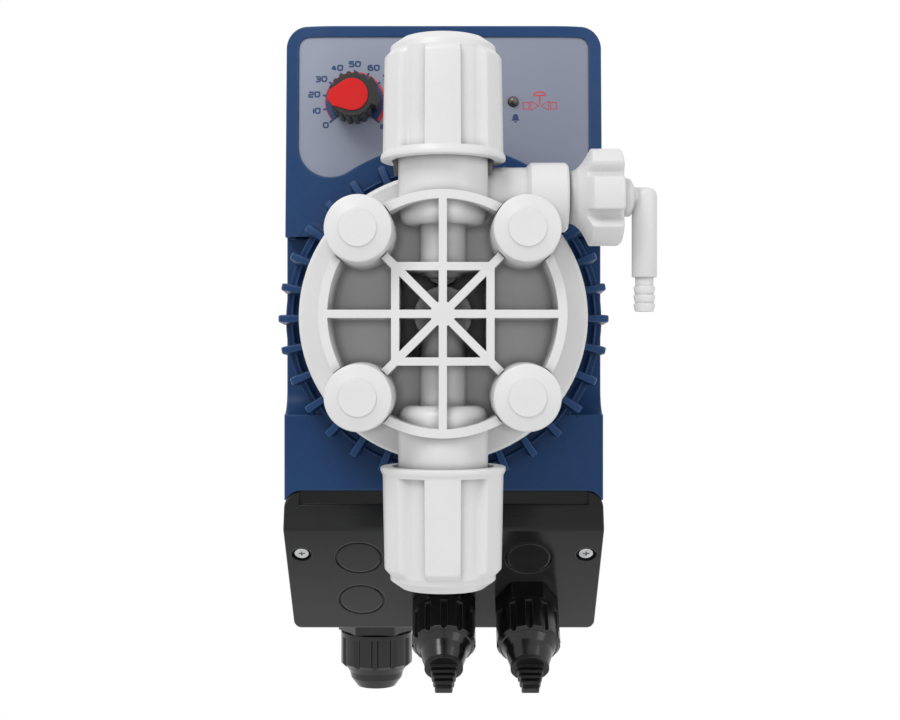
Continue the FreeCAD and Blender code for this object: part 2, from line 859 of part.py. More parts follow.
# Knob: ribbed barrel with a smooth tail opposite the pointer, and a drop-shaped pointer plate
barrel = axial(knob_r, knob_front_y, knob_back_y, dial_x, dial_z)
tip_turn = math.degrees(pointer_tip_half / pointer_reach)
tip_side_r = pointer_reach - pointer_tip_round
tip_left = dial_point(tip_side_r, pointer_direction + tip_turn)
tip_right = dial_point(tip_side_r, pointer_direction - tip_turn)
tip = dial_point(pointer_reach, pointer_direction)
tangent_turn = math.degrees(math.acos(pointer_waist_r / pointer_reach))
flank_left = dial_point(pointer_r, pointer_direction + tangent_turn)
flank_right = dial_point(pointer_r, pointer_direction - tangent_turn)


def pointer_shape(y0, y1):
    """Drop-shaped plate seen from the front."""
    disc = axial(pointer_r, y0, y1, dial_x, dial_z)
    corners = [(*place, 0) for place in (flank_left, tip_left, tip, tip_right, flank_right)]
    return union([disc, front_prism(corners, y0, y1)])


tail_turns = [pointer_direction + 180 + knob_tail_half_angle * k for k in (-1, 0, 1)]
tail_points = [V(x, knob_front_y, z) for x, z in (dial_point(knob_tail_r, turn) for turn in tail_turns)]
knob_middle = V(dial_x, knob_front_y, dial_z)
tail_wire = Part.Wire([
    Part.Arc(*tail_points).toShape(),
    Part.LineSegment(tail_points[2], knob_middle).toShape(),
    Part.LineSegment(knob_middle, tail_points[0]).toShape(),
])
tail = Part.Face(tail_wire).extrude(V(0, knob_tail_height, 0))
ribs = []
for i in range(knob_ribs):
    x, z = dial_point(knob_r, pointer_direction + 360.0 * (i + 0.5) / knob_ribs)
    ribs.append(axial(knob_rib_r, knob_front_y + knob_rib_set_back, knob_back_y, x, z))
nose = pointer_shape(knob_front_y, knob_front_y + knob_nose_height)
knob = union([barrel, tail, nose] + ribs)
pointer_seat_y = knob_front_y + pointer_recess
knob = knob.cut(pointer_shape(-far, pointer_seat_y))
knob = knob.cut(axial(shaft_r + shaft_grip_gap, shaft_tip_y, knob_back_y, dial_x, dial_z))
save("stroke_knob", knob)
save("knob_pointer", pointer_shape(pointer_seat_y - pointer_thickness, pointer_seat_y))

# Finned drum that covers the magnet
drum = turned([
    (drum_base_r, 0), (drum_front_r, drum_depth), (0, drum_depth),
    (0, drum_depth - drum_wall), (drum_front_r - drum_wall, drum_depth - drum_wall),
    (drum_base_r - drum_wall, 0),
], (0, drum_seat_y, head_z), (0, -1, 0))
fin_root_r = drum_front_r - drum_wall / 2
fin_outline = [
    (fin_root_r, drum_seat_y, 0),
    (fin_tip_r, drum_seat_y, 0),
    (fin_tip_r, drum_front_y, fin_corner_r),
    (fin_root_r, drum_front_y, 0),
]
fin = shifted(flat_prism(fin_outline, 0, fin_thickness), z=head_z - fin_thickness / 2)
fins = [around(fin, (0, 0, head_z), (0, 1, 0), 360.0 * i / fin_count) for i in range(fin_count)]
drum_inside = turned([
    (0, 0), (drum_base_r - drum_wall, 0),
    (drum_front_r - drum_wall, drum_depth - drum_wall), (0, drum_depth - drum_wall),
], (0, drum_seat_y, head_z), (0, -1, 0))
drum = union([drum] + fins).cut(drum_inside)
drum = drum.cut(axial(flange_dish_r, drum_front_y, drum_front_y + drum_wall))
for x, z in each_corner(corner_spacing, corner_spacing):
    drum = drum.cut(axial(head_screw_r + head_screw_hole_gap, drum_front_y, drum_front_y + drum_wall, x, z))
save("finned_drum", drum)

# Solenoid: yoke with its rear stop, bobbin, winding, fixed core, bush, moving plunger and spring
yoke_front_y = drum_front_y + drum_wall
yoke_inner_y = yoke_front_y + yoke_flange_thickness
bobbin_front_y = yoke_inner_y + coil_gap
winding_front_y = bobbin_front_y + bobbin_flange
winding_back_y = winding_front_y + coil_length
bobbin_back_y = winding_back_y + bobbin_flange
yoke_plate_y = bobbin_back_y + coil_gap
yoke_back_y = yoke_plate_y + yoke_wall
stop_floor_y = yoke_back_y + stop_pocket
core_r = coil_bore_r - bobbin_wall
bobbin_bore_r = core_r + rod_gap
yoke_bore_r = yoke_r - yoke_wall

yoke = union([
    axial(yoke_flange_r, yoke_front_y, yoke_inner_y),
    axial(yoke_r, yoke_front_y, yoke_back_y),
    axial(stop_r, yoke_back_y, stop_floor_y + stop_wall),
])
yoke = yoke.cut(axial(yoke_bore_r, yoke_inner_y, yoke_plate_y))
yoke = yoke.cut(axial(core_r + rod_gap, yoke_front_y, yoke_inner_y))
yoke = yoke.cut(axial(core_r + coil_gap, yoke_plate_y, stop_floor_y))
for x, z in each_corner(corner_spacing, corner_spacing):
    yoke = yoke.cut(axial(head_screw_r + rod_gap, yoke_front_y, yoke_inner_y, x, z))
save("solenoid_yoke", yoke)

bobbin = union([
    axial(coil_bore_r, bobbin_front_y, bobbin_back_y),
    axial(yoke_bore_r - coil_gap, bobbin_front_y, winding_front_y),
    axial(yoke_bore_r - coil_gap, winding_back_y, bobbin_back_y),
]).cut(axial(bobbin_bore_r, bobbin_front_y, bobbin_back_y))
save("coil_bobbin", bobbin)
winding = axial(yoke_bore_r - coil_gap * 3, winding_front_y, winding_back_y)
save("coil_winding", winding.cut(axial(coil_bore_r, winding_front_y, winding_back_y)))

core_back_y = yoke_front_y + core_length
bush_back_y = yoke_front_y + bush_length
core = axial(core_r, yoke_front_y, core_back_y)
core = core.cut(axial(bush_r, yoke_front_y, bush_back_y))
core = core.cut(axial(rod_r + rod_passage_gap, bush_back_y, core_back_y))
core = core.cut(axial(spring_pocket_r, core_back_y - spring_pocket_depth, core_back_y))
save("fixed_core", core)
bush = axial(bush_r, yoke_front_y, bush_back_y)
save("guide_bush", bush.cut(axial(rod_r + rod_gap, yoke_front_y, bush_back_y)))

plunger_front_y = core_back_y + air_gap
plunger_back_y = stop_floor_y - rod_gap
rod_front_y = drum_front_y - rod_lead
rod_back_y = plunger_front_y + rod_seat_depth
plunger = axial(core_r, plunger_front_y, plunger_back_y)
plunger = plunger.cut(axial(spring_pocket_r, plunger_front_y, plunger_front_y + spring_pocket_depth))
plunger = plunger.cut(axial(rod_r + rod_gap, plunger_front_y, rod_back_y))
save("plunger", plunger)
rod = axial(rod_r, rod_front_y, rod_back_y)
stud_back_y = flange_front_y + insert_stud_length
stud_hole_end_y = stud_back_y + insert_stud_end_gap
save("push_rod", rod.cut(axial(insert_stud_r + rod_gap, rod_front_y, stud_hole_end_y)))

spring_start_y = core_back_y - spring_pocket_depth + spring_wire_r + rod_gap
spring_end_y = plunger_front_y + spring_pocket_depth - spring_wire_r - rod_gap
spring_length = spring_end_y - spring_start_y
helix = Part.makeHelix(spring_length / spring_turns, spring_length, spring_mean_r)
low = spring_mean_r - spring_wire_r
high = spring_mean_r + spring_wire_r
wire_section = Part.makePolygon([
    V(low, 0, -spring_wire_r), V(high, 0, -spring_wire_r), V(high, 0, spring_wire_r),
    V(low, 0, spring_wire_r), V(low, 0, -spring_wire_r),
])
spring = Part.Wire(helix.Edges).makePipeShell([wire_section], True, True)
save("return_spring", placed(spring, (0, spring_start_y, head_z), (0, 1, 0)))

# Backing flange, diaphragm and diaphragm core
flange = axial(flange_r, flange_front_y, drum_front_y)
flange = flange.cut(axial(flange_dish_r, flange_front_y, flange_front_y + flange_dish_depth))
flange = flange.cut(axial(rod_r + flange_passage_gap, flange_front_y, drum_front_y))
drain_y = (flange_front_y + flange_dish_depth + drum_front_y) / 2
flange = flange.cut(bar(drain_r, (0, drain_y, head_z - rod_r), (0, drain_y, head_z - flange_r)))
for x, z in each_corner(corner_spacing, corner_spacing):
    flange = flange.cut(axial(head_screw_r + head_screw_hole_gap, flange_front_y, drum_front_y, x, z))
save("backing_flange", flange)

web_low = (diaphragm_thickness - diaphragm_web) / 2
web_high = web_low + diaphragm_web
diaphragm = turned([
    (0, diaphragm_centre_front), (diaphragm_centre_r - diaphragm_taper, diaphragm_centre_front),
    (diaphragm_centre_r, web_high), (diaphragm_web_r, web_high),
    (diaphragm_web_r, diaphragm_thickness), (diaphragm_r, diaphragm_thickness),
    (diaphragm_r, 0), (diaphragm_web_r, 0), (diaphragm_web_r, web_low),
    (diaphragm_centre_r, web_low), (diaphragm_centre_r - diaphragm_taper, -diaphragm_centre_back),
    (0, -diaphragm_centre_back),
], (0, flange_front_y, head_z), (0, -1, 0))
insert_front_y = flange_front_y - diaphragm_centre_front + insert_cover
insert_back_y = insert_front_y + insert_thickness
insert_pocket = axial(insert_r + insert_gap, insert_front_y - insert_gap, insert_back_y + insert_gap)
diaphragm = diaphragm.cut(insert_pocket)
diaphragm = diaphragm.cut(axial(insert_stud_r + insert_gap, insert_back_y, stud_back_y))
for x, z in each_corner(corner_spacing, corner_spacing):
    diaphragm = diaphragm.cut(axial(head_screw_r + head_screw_hole_gap, -far, 0, x, z))
save("diaphragm", diaphragm)
save("diaphragm_insert", union([
    axial(insert_r, insert_front_y, insert_back_y),
    axial(insert_stud_r, insert_back_y, stud_back_y),
]))

# Pump head: plate, ring, lattice of ribs, two necks, channels and the bleed branch
ring_inner_r = ring_outer_r - ring_wall
neck_bottom_z = head_z - neck_end


def neck(up):
    """Valve neck on the upper or lower side, rounded where it starts in the pocket."""
    start = (0, valve_y, head_z + up * neck_start)
    solid = bar(neck_r, start, (0, valve_y, head_z + up * neck_end))
    return solid.makeFillet(neck_round, edges_at(solid, "z", start[2]))


def rib(angle, length):
    """Upright rib from the hub outward."""
    blade = box(0, length, ring_front_y, pocket_y, head_z - rib_width / 2, head_z + rib_width / 2)
    return around(blade, (0, 0, head_z), (0, 1, 0), angle)


plate = axial(head_r, head_front_y, flange_front_y)
plate = plate.makeFillet(head_edge_r, edges_at(plate, "y", head_front_y))
ring = axial(ring_outer_r, ring_front_y, head_front_y).cut(axial(ring_inner_r, ring_front_y, head_front_y))
floor = axial(ring_inner_r + pocket_lap, pocket_y, head_front_y)
half_in = lattice_half - rib_width / 2
half_out = lattice_half + rib_width / 2
floor = floor.cut(box(-half_in, half_in, pocket_y, centre_pocket_y, head_z - half_in, head_z + half_in))
lattice = box(-half_out, half_out, ring_front_y, pocket_y, head_z - half_out, head_z + half_out)
lattice = lattice.cut(box(-half_in, half_in, ring_front_y, pocket_y, head_z - half_in, head_z + half_in))
corner_reach = corner_spacing * math.sqrt(2)
ribs = [rib(90 * i, ring_inner_r + ring_wall / 2) for i in range(4)]
ribs += [rib(45 + 90 * i, corner_reach) for i in range(4)]
hub = axial(hub_r, ring_front_y, centre_pocket_y)
boss = axial(centre_boss_r, head_front_y - centre_boss_rise, head_front_y)
lower_tube = bar(channel_tube_r, (0, valve_y, head_z - neck_start - neck_round), (0, valve_y, head_z))
upper_tube = bar(channel_tube_r, (0, valve_y, head_z + upper_tube_start),
                 (0, valve_y, head_z + neck_start + neck_round))
tube_end = edges_at(upper_tube, "z", head_z + upper_tube_start)
upper_tube = upper_tube.makeFillet(upper_tube_round, tube_end)
port_z = head_z + discharge_port
port = axial(discharge_port_r, valve_y, head_front_y, 0, port_z)
cap_bosses = [axial(cap_base_r, cap_base_y, head_front_y, x, z)
              for x, z in each_corner(corner_spacing, corner_spacing)]
branch = bar(branch_r, (0, bleed_y, bleed_z), (collar_start + collar_chamfer, bleed_y, bleed_z))
collar_length = collar_end - collar_start
collar = turned([
    (0, 0), (collar_r - collar_chamfer, 0), (collar_r, collar_chamfer),
    (collar_r, collar_length - collar_round), (collar_r - collar_round, collar_length),
    (0, collar_length),
], (collar_start, bleed_y, bleed_z), (1, 0, 0))
head = union([plate, ring, floor, lattice, hub, boss, lower_tube, upper_tube, port, neck(1), neck(-1),
              branch, collar] + ribs)
for x, z in each_corner(corner_spacing, corner_spacing):
    head = head.cut(axial(cap_base_r + cap_seat_gap, -far, cap_base_y, x, z))
head = union([head] + cap_bosses)

bore_r = cartridge_r + cartridge_gap
bore_floor = neck_end - cartridge_length
for up in (1, -1):
    bore_start = (0, valve_y, head_z + up * bore_floor)
    head = head.cut(bar(bore_r, bore_start, (0, valve_y, head_z + up * neck_end)))
chamber_y = flange_front_y - chamber_depth
head = head.cut(turned([
    (0, 0), (diaphragm_r + insert_gap, 0), (diaphragm_r + insert_gap, diaphragm_thickness),
    (diaphragm_web_r, diaphragm_thickness), (diaphragm_web_r, diaphragm_thickness + chamber_step),
    (diaphragm_centre_r + chamber_taper, chamber_depth), (0, chamber_depth),
], (0, flange_front_y, head_z), (0, -1, 0)))
head = head.cut(bar(channel_bore_r, (0, valve_y, head_z), (0, valve_y, head_z - bore_floor)))
head = head.cut(axial(channel_bore_r, valve_y, chamber_y, 0, head_z))
head = head.cut(bar(channel_bore_r, (0, valve_y, port_z), (0, valve_y, head_z + bore_floor)))
head = head.cut(axial(channel_bore_r, valve_y, chamber_y, 0, port_z))
head = head.cut(bar(channel_bore_r, (0, bleed_y, bleed_z), (stem_start, bleed_y, bleed_z)))
head = head.cut(bar(stem_r + running_gap, (stem_start, bleed_y, bleed_z), (collar_end, bleed_y, bleed_z)))
screw_seat_y = head_front_y - head_screw_seat_rise
for x, z in each_corner(corner_spacing, corner_spacing):
    head = head.cut(axial(head_screw_r + head_screw_hole_gap, screw_seat_y, flange_front_y, x, z))
    head = head.cut(axial(cap_counterbore_r, cap_base_y, screw_seat_y, x, z))
save("pump_head", head)

# Head screws under their caps
for i, (x, z) in enumerate(each_corner(corner_spacing, corner_spacing)):
    screw_head = axial(head_screw_head_r, screw_seat_y - head_screw_head_height, screw_seat_y, x, z)
    socket = axial(head_screw_socket_r, screw_seat_y - head_screw_head_height,
                   screw_seat_y - head_screw_head_height / 2, x, z)
    shank = axial(head_screw_r, screw_seat_y, yoke_inner_y - coil_gap, x, z)
    save("head_screw_%d" % (i + 1), union([screw_head.cut(socket), shank]))
    cap = turned([
        (cap_base_r, 0), (cap_front_r, cap_length - cap_round),
        (cap_front_r - cap_step, cap_length - cap_face_rise),
        (cap_face_r, cap_length), (0, cap_length), (0, cap_length - cap_wall),
        (cap_front_r - cap_wall, cap_length - cap_wall), (cap_base_r - cap_wall, 0),
    ], (x, cap_base_y, z), (0, -1, 0))
    save("screw_cap_%d" % (i + 1), cap)

# Valve cartridges: seat, ball and cage, the same way up in both necks because the flow is upward
ball_centre = (seat_height - seat_cone_r) + (ball_r + ball_seat_gap) * math.sqrt(2)
cage_stop = ball_centre + ball_r + ball_travel + ball_stop_gap
for name, base_z in (("discharge", head_z + bore_floor), ("suction", neck_bottom_z)):
    foot = (0, valve_y, base_z)
    seat_ring = turned([
        (seat_hole_r, 0), (cartridge_r, 0), (cartridge_r, seat_height), (seat_cone_r, seat_height),
        (seat_hole_r, seat_height - seat_cone_r + seat_hole_r),
    ], foot)
    save(name + "_valve_seat", seat_ring)
    save(name + "_ball", Part.makeSphere(ball_r, V(0, valve_y, base_z + ball_centre)))
    cage_foot_at = (0, valve_y, base_z + seat_height)
    cage_roof_at = (0, valve_y, base_z + cage_stop)
    cage_end_at = (0, valve_y, base_z + cartridge_length)
    cage = bar(cartridge_r, cage_foot_at, cage_end_at)
    cage = cage.cut(bar(ball_r + cage_bore_gap, cage_foot_at, cage_roof_at))
    cage = cage.cut(bar(cage_roof_hole_r, cage_roof_at, cage_end_at))
    slot_top_z = base_z + cartridge_length - cage_roof
    slot_base_z = base_z + seat_height + cage_foot
    half = cage_slot_width / 2
    cage = cage.cut(box(-cage_slot_r, cage_slot_r, valve_y - half, valve_y + half, slot_base_z, slot_top_z))
    cage = cage.cut(box(-half, half, valve_y - cage_slot_r, valve_y + cage_slot_r, slot_base_z, slot_top_z))
    save(name + "_valve_cage", cage)


def union_nut():
    """Nut drawn upward from the head axis: rim, five broad lobes, flutes open at the outer end."""
    body = turned([
        (nut_rim_r, nut_start), (nut_rim_r, nut_start + nut_rim_height),
        (nut_r, nut_start + nut_rim_height), (nut_outer_r, nut_shoulder),
        (nut_chamfer_r, nut_chamfer_end), (nut_face_r, nut_end), (0, nut_end), (0, nut_start),
    ])
    gap_half = math.radians(180.0 / nut_lobes - nut_lobe_half_angle)
    inner = nut_flute_r
    outer_cut = nut_rim_r + overcut

    def around_lobe(r, angle):
        return V(r * math.sin(angle), -r * math.cos(angle), nut_flute_start)

    sector = Part.Wire([
        Part.Arc(*[around_lobe(inner, gap_half * k) for k in (-1, 0, 1)]).toShape(),
        Part.LineSegment(around_lobe(inner, gap_half), around_lobe(outer_cut, gap_half)).toShape(),
        Part.Arc(*[around_lobe(outer_cut, gap_half * k) for k in (1, 0, -1)]).toShape(),
        Part.LineSegment(around_lobe(outer_cut, -gap_half), around_lobe(inner, -gap_half)).toShape(),
    ])
    flute = Part.Face(sector).extrude(V(0, 0, nut_end - nut_flute_start + overcut))
    closed = [e for e in edges_at(flute, "z", nut_flute_start) if e.Curve.TypeId == "Part::GeomLine"]
    flute = flute.makeFillet(nut_flute_corner_r, closed)
    for i in range(nut_lobes):
        body = body.cut(around(flute, (0, 0, 0), (0, 0, 1), 360.0 * (i + 0.5) / nut_lobes))
    thread_r = neck_r + nut_thread_gap
    thread_end = neck_end + nipple_flange + nut_thread_gap
    body = body.cut(turned([
        (0, nut_start), (thread_r, nut_start), (thread_r, thread_end),
        (hose_cavity_r, thread_end), (hose_cavity_r, hose_cavity_end),
        (hose_relief_r, hose_cavity_end + hose_cavity_r - hose_relief_r - hose_cone_step),
        (hose_relief_r, hose_relief_end), (hose_hole_r, hose_relief_end), (hose_hole_r, nut_end), (0, nut_end),
    ]))
    return body


def hose_nipple():
    """Flanged nipple that the hose slides on, clamped by the nut."""
    flange_end = neck_end + nipple_flange
    shoulder_end = flange_end + nipple_shoulder
    nipple_end = neck_end + nipple_reach
    return turned([
        (nipple_bore_r, neck_end), (neck_r, neck_end), (neck_r, flange_end),
        (nipple_shoulder_r, flange_end), (nipple_shoulder_r, shoulder_end),
        (nipple_r, shoulder_end), (nipple_r, nipple_end), (nipple_bore_r, nipple_end),
    ])


for name, shape in (("union_nut", union_nut()), ("hose_nipple", hose_nipple())):
    upper = shifted(shape, y=valve_y, z=head_z)
    save("discharge_" + name, upper)
    save("suction_" + name, around(upper, (0, valve_y, head_z), (0, 1, 0), 180))

# Bleed valve: hollow stem in the collar, star knob with a flared skirt, swivelling elbow
def bleed_bar(r, x0, x1):
    """Round bar on the bleed axis."""
    return bar(r, (x0, bleed_y, bleed_z), (x1, bleed_y, bleed_z))


star_start = collar_end + star_gap
star_face = star_start + star_flare_length + star_length
elbow_start = star_face + star_gap
elbow_axis_x = elbow_start + elbow_offset
stem_end = elbow_start + elbow_hub_length - star_gap
stem = bleed_bar(stem_r, stem_start + star_gap, stem_end)
save("bleed_stem", stem.cut(bleed_bar(stem_bore_r, stem_start + star_gap, stem_end)))

flare = Part.Wire([
    Part.LineSegment(V(0, 0, 0), V(star_waist_r, 0, 0)).toShape(),
    Part.Arc(V(star_waist_r, 0, 0),
             V(star_flare_middle_r, 0, star_flare_middle),
             V(star_flare_r, 0, star_flare_length)).toShape(),
    Part.LineSegment(V(star_flare_r, 0, star_flare_length), V(0, 0, star_flare_length)).toShape(),
    Part.LineSegment(V(0, 0, star_flare_length), V(0, 0, 0)).toShape(),
])
skirt = Part.Solid(Part.Face(flare).revolve(V(0, 0, 0), V(0, 0, 1), 360).Shells[0])
if skirt.Volume < 0:
    skirt.reverse()
grip = Part.makeCylinder(star_valley_r, star_length, V(0, 0, star_flare_length))
lobe = Part.makeBox(star_lobe_r, star_lobe_half * 2, star_length, V(0, -star_lobe_half, star_flare_length))
lobe = lobe.common(Part.makeCylinder(star_lobe_r, star_length, V(0, 0, star_flare_length)))
lobe_corners = [e for e in edges_at(lobe, "z", star_flare_length + star_length / 2)
                if e.BoundBox.XMax > star_valley_r]
lobe = lobe.makeFillet(star_lobe_corner_r, lobe_corners)
star_turns = [360.0 * (i + 0.5) / star_lobes for i in range(star_lobes)]
star = union([skirt, grip] + [around(lobe, (0, 0, 0), (0, 0, 1), turn) for turn in star_turns])
star = placed(star, (star_start, bleed_y, bleed_z), (1, 0, 0))
save("bleed_knob", star.cut(bleed_bar(stem_r + running_gap, star_start, star_face)))

elbow_end_z = bleed_z - elbow_drop
elbow = union([
    bleed_bar(elbow_hub_r, elbow_start, elbow_start + elbow_hub_length),
    bleed_bar(elbow_tube_r, elbow_start, elbow_axis_x),
    bar(elbow_tube_r, (elbow_axis_x, bleed_y, bleed_z), (elbow_axis_x, bleed_y, elbow_end_z)),
    Part.makeSphere(elbow_tube_r, V(elbow_axis_x, bleed_y, bleed_z)),
])
barbs = []
for i in range(barb_count):
    top_z = elbow_end_z - i * barb_length
    barbs.append(turned([
        (0, 0), (elbow_neck_r - barb_lead, 0), (barb_r, barb_peak), (elbow_neck_r, barb_length),
        (0, barb_length),
    ], (elbow_axis_x, bleed_y, top_z - barb_length)))
elbow = union([elbow] + barbs)
barb_tip_z = elbow_end_z - barb_count * barb_length
elbow = elbow.cut(bleed_bar(stem_r + running_gap, elbow_start, stem_end + star_gap / 2))
elbow = elbow.cut(bleed_bar(elbow_bore_r, stem_end, elbow_axis_x))
elbow = elbow.cut(bar(elbow_bore_r, (elbow_axis_x, bleed_y, bleed_z), (elbow_axis_x, bleed_y, barb_tip_z)))
save("bleed_elbow", elbow)


# Cable glands, drawn outward from the wall they are screwed into
def gland_body(thread_r, thread_length, flats, hex_length, bore_r):
    """Threaded spigot, hexagon and outer spigot with a bore."""
    corner = flats / math.sqrt(3)
    turns = [math.radians(60 * i) for i in range(6)]
    hexagon = [(corner * math.cos(turn), corner * math.sin(turn), 0) for turn in turns]
    inner_end = (0, 0, -thread_length)
    outer_end = (0, 0, hex_length + gland_spigot_length)
    body = union([flat_prism(hexagon, 0, hex_length), bar(thread_r, inner_end, outer_end)])
    return body.cut(bar(bore_r, inner_end, outer_end))


def gland_nut(thread_r, nut_r, start, length, dome_r, dome_length, mouth_r):
    """Fluted nut with a stepped dome."""
    top = start + length
    end = top + dome_length
    dome_foot = top + dome_length * gland_dome_foot_share
    dome_top = top + dome_length * gland_dome_top_share
    nut = turned([
        (0, start), (nut_r, start), (nut_r, top - gland_edge), (nut_r - gland_edge, top),
        ((nut_r + dome_r) / 2, top), (dome_r, dome_foot), (dome_r - gland_dome_draft, dome_top),
        (mouth_r + gland_mouth_wall, end), (0, end),
    ])
    inner_r = thread_r + gland_thread_gap
    spigot_top = start - gland_gap + gland_spigot_length + gland_thread_gap
    nut = nut.cut(turned([
        (0, start), (inner_r, start), (inner_r, spigot_top),
        (min(inner_r, dome_r - gland_dome_wall), dome_foot), (mouth_r, dome_top),
        (mouth_r, end), (0, end),
    ]))
    flute_r = nut_r * gland_flute_share
    flute_centre_r = nut_r + flute_r * gland_flute_offset_share
    for i in range(gland_flutes):
        turn = 2 * math.pi * i / gland_flutes
        x = flute_centre_r * math.cos(turn)
        y = flute_centre_r * math.sin(turn)
        nut = nut.cut(bar(flute_r, (x, y, start + gland_flute_start), (x, y, top)))
    return nut


def blanking_plug(start, mouth_z):
    """Plug with a shank in the gland, a collar and a ribbed pull-off wedge."""
    collar_top = mouth_z + plug_collar_length
    shank = bar(plug_shank_r, (0, 0, start), (0, 0, mouth_z))
    collar = bar(plug_collar_r, (0, 0, mouth_z), (0, 0, collar_top))
    wide = plug_wedge_width / 2
    narrow = plug_tip_width / 2
    face = Part.Face(Part.makePolygon([
        V(-wide, 0, collar_top), V(wide, 0, collar_top), V(narrow, 0, collar_top + plug_wedge_length),
        V(-narrow, 0, collar_top + plug_wedge_length), V(-wide, 0, collar_top),
    ]))
    core = shifted(face.extrude(V(0, plug_core_thickness, 0)), y=-plug_core_thickness / 2)
    flank = shifted(face.extrude(V(0, plug_wedge_thickness, 0)), y=-plug_wedge_thickness / 2)
    slat_bases = [collar_top + plug_slat_pitch * i for i in range(plug_slats)]
    slats = [flank.common(box(-far, far, -far, far, z, z + plug_slat)) for z in slat_bases]
    return union([shank, collar, core] + slats)


signal_nut_start = signal_hex_length + gland_gap
signal_mouth = signal_nut_start + signal_nut_length + signal_dome_length
for name, column in (("middle", 0), ("right", 1)):
    origin = tuple(on_slope(column * knockout_pitch, knockout_lower_t))
    pieces = {
        "body": gland_body(signal_thread_r, signal_thread_length, signal_hex_flats,
                           signal_hex_length, signal_bore_r),
        "nut": gland_nut(signal_thread_r, signal_nut_r, signal_nut_start, signal_nut_length,
                         signal_dome_r, signal_dome_length, signal_mouth_r),
        "plug": blanking_plug(signal_nut_start, signal_mouth),
    }
    for piece, shape in pieces.items():
        save("signal_gland_%s_%s" % (piece, name), placed(shape, origin, tuple(outward)))

power_nut_start = power_hex_length + gland_gap
power_top = power_nut_start + power_nut_length
seal_start = power_hex_length + gland_spigot_length + gland_thread_gap
seal_end = power_top + power_seal_rise
power_body = gland_body(power_thread_r, power_thread_length, power_hex_flats, power_hex_length,
                        power_bore_r)
power_nut = gland_nut(power_thread_r, power_nut_r, power_nut_start, power_nut_length,
                      power_dome_r, power_dome_length, power_mouth_r)
power_seal = turned([
    (power_seal_bore_r, seal_start), (power_seal_r, seal_start),
    (power_seal_r, power_top), (power_mouth_r, seal_end), (power_seal_bore_r, seal_end),
])
for name, shape in (("body", power_body), ("nut", power_nut), ("seal", power_seal)):
    save("power_gland_" + name, placed(shape, power_origin, (0, 0, -1)))
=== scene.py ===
import math

import bmesh
import bpy
from mathutils import Matrix, Vector
from mathutils.bvhtree import BVHTree


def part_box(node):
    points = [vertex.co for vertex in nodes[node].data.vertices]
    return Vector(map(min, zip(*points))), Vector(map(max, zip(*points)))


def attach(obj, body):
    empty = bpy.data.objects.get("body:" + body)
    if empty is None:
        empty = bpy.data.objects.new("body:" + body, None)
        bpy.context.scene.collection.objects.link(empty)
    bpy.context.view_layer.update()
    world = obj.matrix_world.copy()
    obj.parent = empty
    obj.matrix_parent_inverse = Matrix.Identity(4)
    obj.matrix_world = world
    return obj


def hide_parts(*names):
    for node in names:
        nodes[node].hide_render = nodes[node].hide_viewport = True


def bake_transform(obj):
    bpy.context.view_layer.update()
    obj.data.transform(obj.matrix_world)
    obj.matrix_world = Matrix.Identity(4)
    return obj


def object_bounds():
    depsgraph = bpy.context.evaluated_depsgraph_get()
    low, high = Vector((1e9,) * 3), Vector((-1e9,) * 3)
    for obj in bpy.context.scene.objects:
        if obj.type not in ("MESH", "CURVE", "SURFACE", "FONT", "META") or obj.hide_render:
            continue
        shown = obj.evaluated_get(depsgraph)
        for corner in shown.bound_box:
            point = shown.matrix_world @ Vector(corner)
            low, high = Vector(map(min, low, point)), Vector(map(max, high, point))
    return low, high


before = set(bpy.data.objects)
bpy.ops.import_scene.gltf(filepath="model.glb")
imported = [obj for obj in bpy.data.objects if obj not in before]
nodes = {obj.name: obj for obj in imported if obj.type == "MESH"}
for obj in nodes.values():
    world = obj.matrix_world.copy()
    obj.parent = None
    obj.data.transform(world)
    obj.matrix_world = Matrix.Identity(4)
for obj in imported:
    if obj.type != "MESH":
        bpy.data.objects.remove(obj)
cad_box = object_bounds()


# Wall bracket: a flat black plate, screwed to the wall, with two rails and two hooks that the
# rear cover hangs on. It is moulded in glass-filled plastic, so its skin is dull and a little
# uneven where the fibres lie near the surface.
class Wire:
    """An output of a node. Arithmetic on it adds Math nodes."""

    def __init__(self, wiring, socket):
        self.wiring = wiring
        self.socket = socket

    def __add__(self, other):
        return self.wiring.maths("ADD", self, other)

    def __sub__(self, other):
        return self.wiring.maths("SUBTRACT", self, other)

    def __rsub__(self, other):
        return self.wiring.maths("SUBTRACT", other, self)

    def __mul__(self, other):
        return self.wiring.maths("MULTIPLY", self, other)

    def share(self, start, end):
        """0 up to start, 1 from end on, even between them."""
        return self.wiring.maths("MULTIPLY", self - start, 1 / (end - start), clamp=True)

    __radd__ = __add__
    __rmul__ = __mul__


class Wiring:
    """The nodes of a material, or of the room round the pump."""

    def __init__(self, tree):
        self.tree = tree

    def node(self, kind, settings=None, inputs=None, output=0):
        """A new node of a kind, set up and fed, and one of its outputs."""
        new_node = self.tree.nodes.new(kind)
        for key, value in (settings or {}).items():
            setattr(new_node, key, value)
        for key, value in (inputs or {}).items():
            self.feed(new_node.inputs[key], value)
        return Wire(self, new_node.outputs[output])

    def maths(self, operation, *values, clamp=False):
        settings = {"operation": operation, "use_clamp": clamp}
        return self.node("ShaderNodeMath", settings, dict(enumerate(values)))

    def feed(self, socket, value):
        """Gives a socket a wire, or a value of its own."""
        if isinstance(value, Wire):
            self.tree.links.new(value.socket, socket)
        else:
            socket.default_value = value


